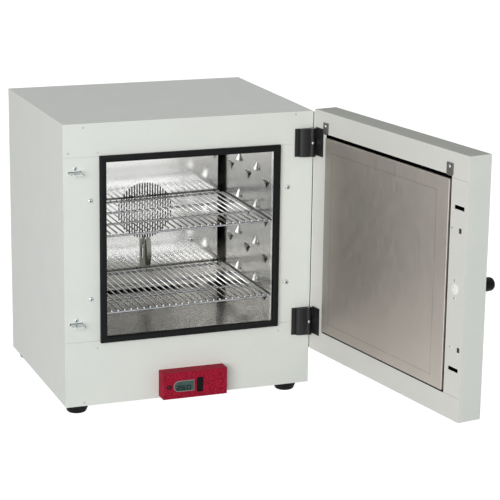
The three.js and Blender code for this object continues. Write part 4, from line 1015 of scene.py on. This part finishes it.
class OBJECT_OT_drying_cabinet_controls(bpy.types.Operator):
    """The red control box with its display, lamp and rocker switch."""

    bl_idname = "object.drying_cabinet_controls"
    bl_label = "Controls"

    switch_round = 4.2 * MM
    fillet_depth = 1.6 * MM
    # The display's digits: the strokes of each, their width, height and pen, and where they stand
    strokes = {"0": "abcdef", "2": "abged", "5": "afgcd"}
    digit_size = (7 * MM, 8 * MM, 1.8 * MM)
    digit_pitch = 11.4 * MM
    digit_right = 7 * MM
    digit_up = 4.6 * MM
    # What the display wears, and the width of the bezel round its window
    surfaces = ("window", "bezel", "segment")
    bezel = 1.3 * MM
    # The printed marks: the stroke's lowest and highest point above the switch, the ring's drop below it
    mark_span = (1.6 * MM, 5 * MM)
    mark_half = 0.5 * MM
    mark_proud = 0.06 * MM
    ring_drop = 3.4 * MM
    # The ring as radii and heights in millimetres
    ring = ((0.8, 0), (1.7, 0), (1.7, 0.06), (0.8, 0.06), (0.8, 0))

    def execute(self, context):
        eased("control_housing", "cabinet", "box", 1.1 * MM, 3, self.outside("control_housing"))
        self.round_switch()
        eased("switch_rocker", "rocker", "rocker", 0.5 * MM, 2)
        self.fit_display()
        self.fit_lamp()
        self.print_marks()
        return {"FINISHED"}

    def outside(self, node):
        """A test for edges of the outer shell's front rim and corners, so the cut-outs stay crisp."""
        low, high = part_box(node)

        def test(edge):
            ends = [v.co for v in edge.verts]
            rim = all(near(end.y, low.y) for end in ends)
            straight_back = all(near(ends[0][i], ends[1][i]) for i in (0, 2))
            border = any(near(end[i], side[i]) for end in ends for side in (low, high) for i in (0, 2))
            return border and (rim or straight_back)

        return test

    def round_switch(self):
        """The switch frame with round corners, and red fillets in the cut-out's corners round it."""
        low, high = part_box("switch_frame")
        fresh = node_copy("switch_frame")

        def at_corner(vert):
            return all(near(vert.co[i], low[i]) or near(vert.co[i], high[i]) for i in (0, 2))

        corners = [
            e for e in sharp_edges(fresh)
            if all(at_corner(v) for v in e.verts) and not near(*[v.co.y for v in e.verts])
        ]
        bevel(fresh, corners, self.switch_round, 6)
        piece("switch_frame_rounded", fresh, "cabinet", ["rocker"], ["switch_frame"])
        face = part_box("control_housing")[0].y
        bends = [i * pi / 12 for i in range(7)]
        shape = bmesh.new()
        for x, reach_x in ((low.x, self.switch_round), (high.x, -self.switch_round)):
            for z, reach_z in ((low.z, self.switch_round), (high.z, -self.switch_round)):
                bend = [(x + reach_x * (1 - cos(a)), z + reach_z * (1 - sin(a))) for a in bends]
                front = shape.faces.new([shape.verts.new((px, face, pz)) for px, pz in [(x, z), *bend]])
                pushed = bmesh.ops.extrude_face_region(shape, geom=[front], use_keep_orig=True)["geom"]
                back = [g for g in pushed if isinstance(g, bmesh.types.BMVert)]
                bmesh.ops.translate(shape, vec=(0, self.fillet_depth, 0), verts=back)
        piece("switch_fillets", shape, "cabinet", ["box"], easy=False)

    def fit_display(self):
        """A smoked window in a thin grey bezel, with plain digits just proud of it."""
        shape = node_copy("display_window")
        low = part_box("display_window")[0]
        rim = [e for e in sharp_edges(shape) if all(near(v.co.y, low.y) for v in e.verts)]
        bevel(shape, rim, 0.5 * MM, 3)
        front = [f for f in shape.faces if f.normal.y < -0.99]
        bmesh.ops.inset_region(shape, faces=front, thickness=self.bezel, depth=0)
        for face in shape.faces:
            face.material_index = self.surfaces.index("window" if face in front else "bezel")
        for i, digit in enumerate("250"):
            x = low.x + self.digit_right + i * self.digit_pitch
            self.draw_digit(shape, digit, x, low.y, low.z + self.digit_up)
        piece("display_window_smoked", shape, "cabinet", self.surfaces, ["display_window"])

    def draw_digit(self, shape, digit, x, y, z):
        """One digit of straight strokes."""
        wide, tall, pen = self.digit_size
        half = tall / 2
        places = {
            "a": ((0, tall), (wide, tall)), "b": ((wide, half), (wide, tall)), "c": ((wide, 0), (wide, half)),
            "d": ((0, 0), (wide, 0)), "e": ((0, 0), (0, half)), "f": ((0, half), (0, tall)),
            "g": ((0, half), (wide, half)),
        }
        for stroke in self.strokes[digit]:
            (x0, z0), (x1, z1) = places[stroke]
            low = (x + x0 - pen / 2, y - 0.09 * MM, z + z0 - pen / 2)
            high = (x + x1 + pen / 2, y - 0.02 * MM, z + z1 + pen / 2)
            slab(shape, low, high, finish=self.surfaces.index("segment"))

    def fit_lamp(self):
        """The lamp's domed lens in a black ring."""
        low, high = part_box("indicator_lens")
        middle = (low + high) / 2
        radius = (high.x - low.x) / 2
        shape = bmesh.new()
        spot = along((middle.x, low.y + 0.6 * MM, middle.z), (0, -1, 0))
        turned(shape, dome(radius * 0.9, 2.2 * MM), spot, 24)
        ring = [(0, -1 * MM), (radius * 1.25, -1 * MM), (radius * 1.25, 0.9 * MM), (radius, 1.1 * MM)]
        ring += [(radius * 0.9, 0.4 * MM), (0, 0.3 * MM)]
        turned(shape, ring, spot, 24, 1)
        piece("indicator_lens_domed", shape, "cabinet", ["lens", "rocker"], ["indicator_lens"], 45)

    def print_marks(self):
        """A stroke above the switch and a ring below it."""
        low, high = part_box("switch_frame")
        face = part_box("control_housing")[0].y
        x = (low.x + high.x) / 2
        foot, head = self.mark_span
        shape = bmesh.new()
        start = (x - self.mark_half, face - self.mark_proud, high.z + foot)
        slab(shape, start, (x + self.mark_half, face, high.z + head))
        turned(shape, in_mm(self.ring), along((x, face, low.z - self.ring_drop), (0, -1, 0)), 24)
        piece("switch_marks", shape, "cabinet", ["rocker"], easy=False)


class OBJECT_OT_drying_cabinet_fasteners(bpy.types.Operator):
    """Pan head screws on the frame, the baffle, the strikes and the rear cover."""

    bl_idname = "object.drying_cabinet_fasteners"
    bl_label = "Fasteners"

    # Millimetres right of the middle and above the underside
    strike_screws = ((-248.4, 509), (-248.4, 188.5))
    rear_screws = ((-245, (20, 200, 400, 578)), (0, (20, 578)), (245, (20, 200, 400, 578)))
    strike_head = 4.2 * MM
    rear_head = 3.6 * MM
    head_depth = 2.8 * MM

    def execute(self, context):
        radius = context.scene.drying_cabinet_sizes.screw_head
        for side in ("left", "right"):
            for where in ("high", "low"):
                self.fit_screw(f"frame_screw_{side}_{where}", radius)
            self.fit_screw("baffle_screw_" + side, radius)
        shape = bmesh.new()
        for x, z in self.strike_screws:
            self.draw_screw(shape, at(x, z), (0, -1, 0), self.strike_head)
        for x, heights in self.rear_screws:
            for z in heights:
                spot = at(x, z)
                self.draw_screw(shape, (spot.x, BACK, spot.z), (0, 1, 0), self.rear_head)
        piece("sheet_screws", shape, "cabinet", ["zinc", "hole"], easy=False)
        return {"FINISHED"}

    def fit_screw(self, node, radius):
        """A pan head in the place of a CAD node's plain one."""
        low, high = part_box(node)
        spot = ((low.x + high.x) / 2, low.y + self.head_depth, (low.z + high.z) / 2)
        shape = bmesh.new()
        self.draw_screw(shape, spot, (0, -1, 0), radius)
        piece(node + "_pan", shape, "cabinet", ["zinc", "hole"], [node], easy=False)

    def draw_screw(self, shape, spot, way, radius):
        """A pan head with a cross recess, drawn as a dark cross of painted shade."""
        rise = radius * 0.52
        rim = [(radius, 0), (radius, rise * 0.45), (radius * 0.94, rise * 0.72), (radius * 0.78, rise * 0.92)]
        profile = [(0, -0.1 * MM), *rim, (radius * 0.45, rise), (0, rise * 1.02)]
        stand = along(spot, way)
        turned(shape, profile, stand, 24)
        arm, half = radius * 0.52, radius * 0.13
        for x, y in ((arm, half), (half, arm)):
            slab(shape, (-x, -y, rise * 0.6), (x, y, rise * 1.05), 0, stand, 1)


class OBJECT_OT_drying_cabinet_feet(bpy.types.Operator):
    """Moulded rubber feet."""

    bl_idname = "object.drying_cabinet_feet"
    bl_label = "Feet"

    # The sole's share of the foot's radius
    taper = 0.83

    def execute(self, context):
        for corner in ("front_left", "front_right", "rear_left", "rear_right"):
            node = "foot_" + corner
            low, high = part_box(node)
            radius = (high.x - low.x) / 2
            tall = high.z - low.z
            sole = radius * self.taper
            profile = [
                (0, 0), (sole - 2 * MM, 0), (sole, 1.5 * MM), (radius, tall * 0.66), (radius, tall - 1 * MM),
                (radius - 1 * MM, tall), (0, tall),
            ]
            shape = bmesh.new()
            middle = Matrix.Translation(((low.x + high.x) / 2, (low.y + high.y) / 2, low.z))
            turned(shape, profile, middle, 40)
            piece(node + "_moulded", shape, "cabinet", ["foot"], [node], 40)
        return {"FINISHED"}


STEPS = (
    OBJECT_OT_drying_cabinet_stage,
    OBJECT_OT_drying_cabinet_finishes,
    OBJECT_OT_drying_cabinet_casing,
    OBJECT_OT_drying_cabinet_chamber,
    OBJECT_OT_drying_cabinet_seal,
    OBJECT_OT_drying_cabinet_shelves,
    OBJECT_OT_drying_cabinet_door,
    OBJECT_OT_drying_cabinet_hinges,
    OBJECT_OT_drying_cabinet_latch,
    OBJECT_OT_drying_cabinet_controls,
    OBJECT_OT_drying_cabinet_fasteners,
    OBJECT_OT_drying_cabinet_feet,
)


class VIEW3D_PT_drying_cabinet(bpy.types.Panel):
    bl_label = "Drying cabinet"
    bl_idname = "VIEW3D_PT_drying_cabinet"
    bl_space_type = "VIEW_3D"
    bl_region_type = "UI"
    bl_category = "Drying cabinet"

    def draw(self, context):
        for group in ("drying_cabinet_finishes", "drying_cabinet_sizes", "drying_cabinet_stage"):
            settings = getattr(context.scene, group)
            for name in settings.__annotations__:
                self.layout.prop(settings, name)
        for step in STEPS:
            self.layout.operator(step.bl_idname)


GROUPS = {
    "drying_cabinet_finishes": DryingCabinetFinishes,
    "drying_cabinet_sizes": DryingCabinetSizes,
    "drying_cabinet_stage": DryingCabinetStage,
}


def register():
    for group in GROUPS.values():
        bpy.utils.register_class(group)
    for name, group in GROUPS.items():
        setattr(bpy.types.Scene, name, bpy.props.PointerProperty(type=group))
    for step in STEPS:
        bpy.utils.register_class(step)
    bpy.utils.register_class(VIEW3D_PT_drying_cabinet)


def unregister():
    bpy.utils.unregister_class(VIEW3D_PT_drying_cabinet)
    for step in reversed(STEPS):
        bpy.utils.unregister_class(step)
    for name, group in GROUPS.items():
        delattr(bpy.types.Scene, name)
        bpy.utils.unregister_class(group)


def main():
    register()
    bpy.ops.object.drying_cabinet_stage()
    bpy.ops.object.drying_cabinet_finishes()
    bpy.ops.object.drying_cabinet_casing()
    bpy.ops.object.drying_cabinet_chamber()
    bpy.ops.object.drying_cabinet_seal()
    bpy.ops.object.drying_cabinet_shelves()
    bpy.ops.object.drying_cabinet_door()
    bpy.ops.object.drying_cabinet_hinges()
    bpy.ops.object.drying_cabinet_latch()
    bpy.ops.object.drying_cabinet_controls()
    bpy.ops.object.drying_cabinet_fasteners()
    bpy.ops.object.drying_cabinet_feet()


if __name__ == "__main__":
    main()
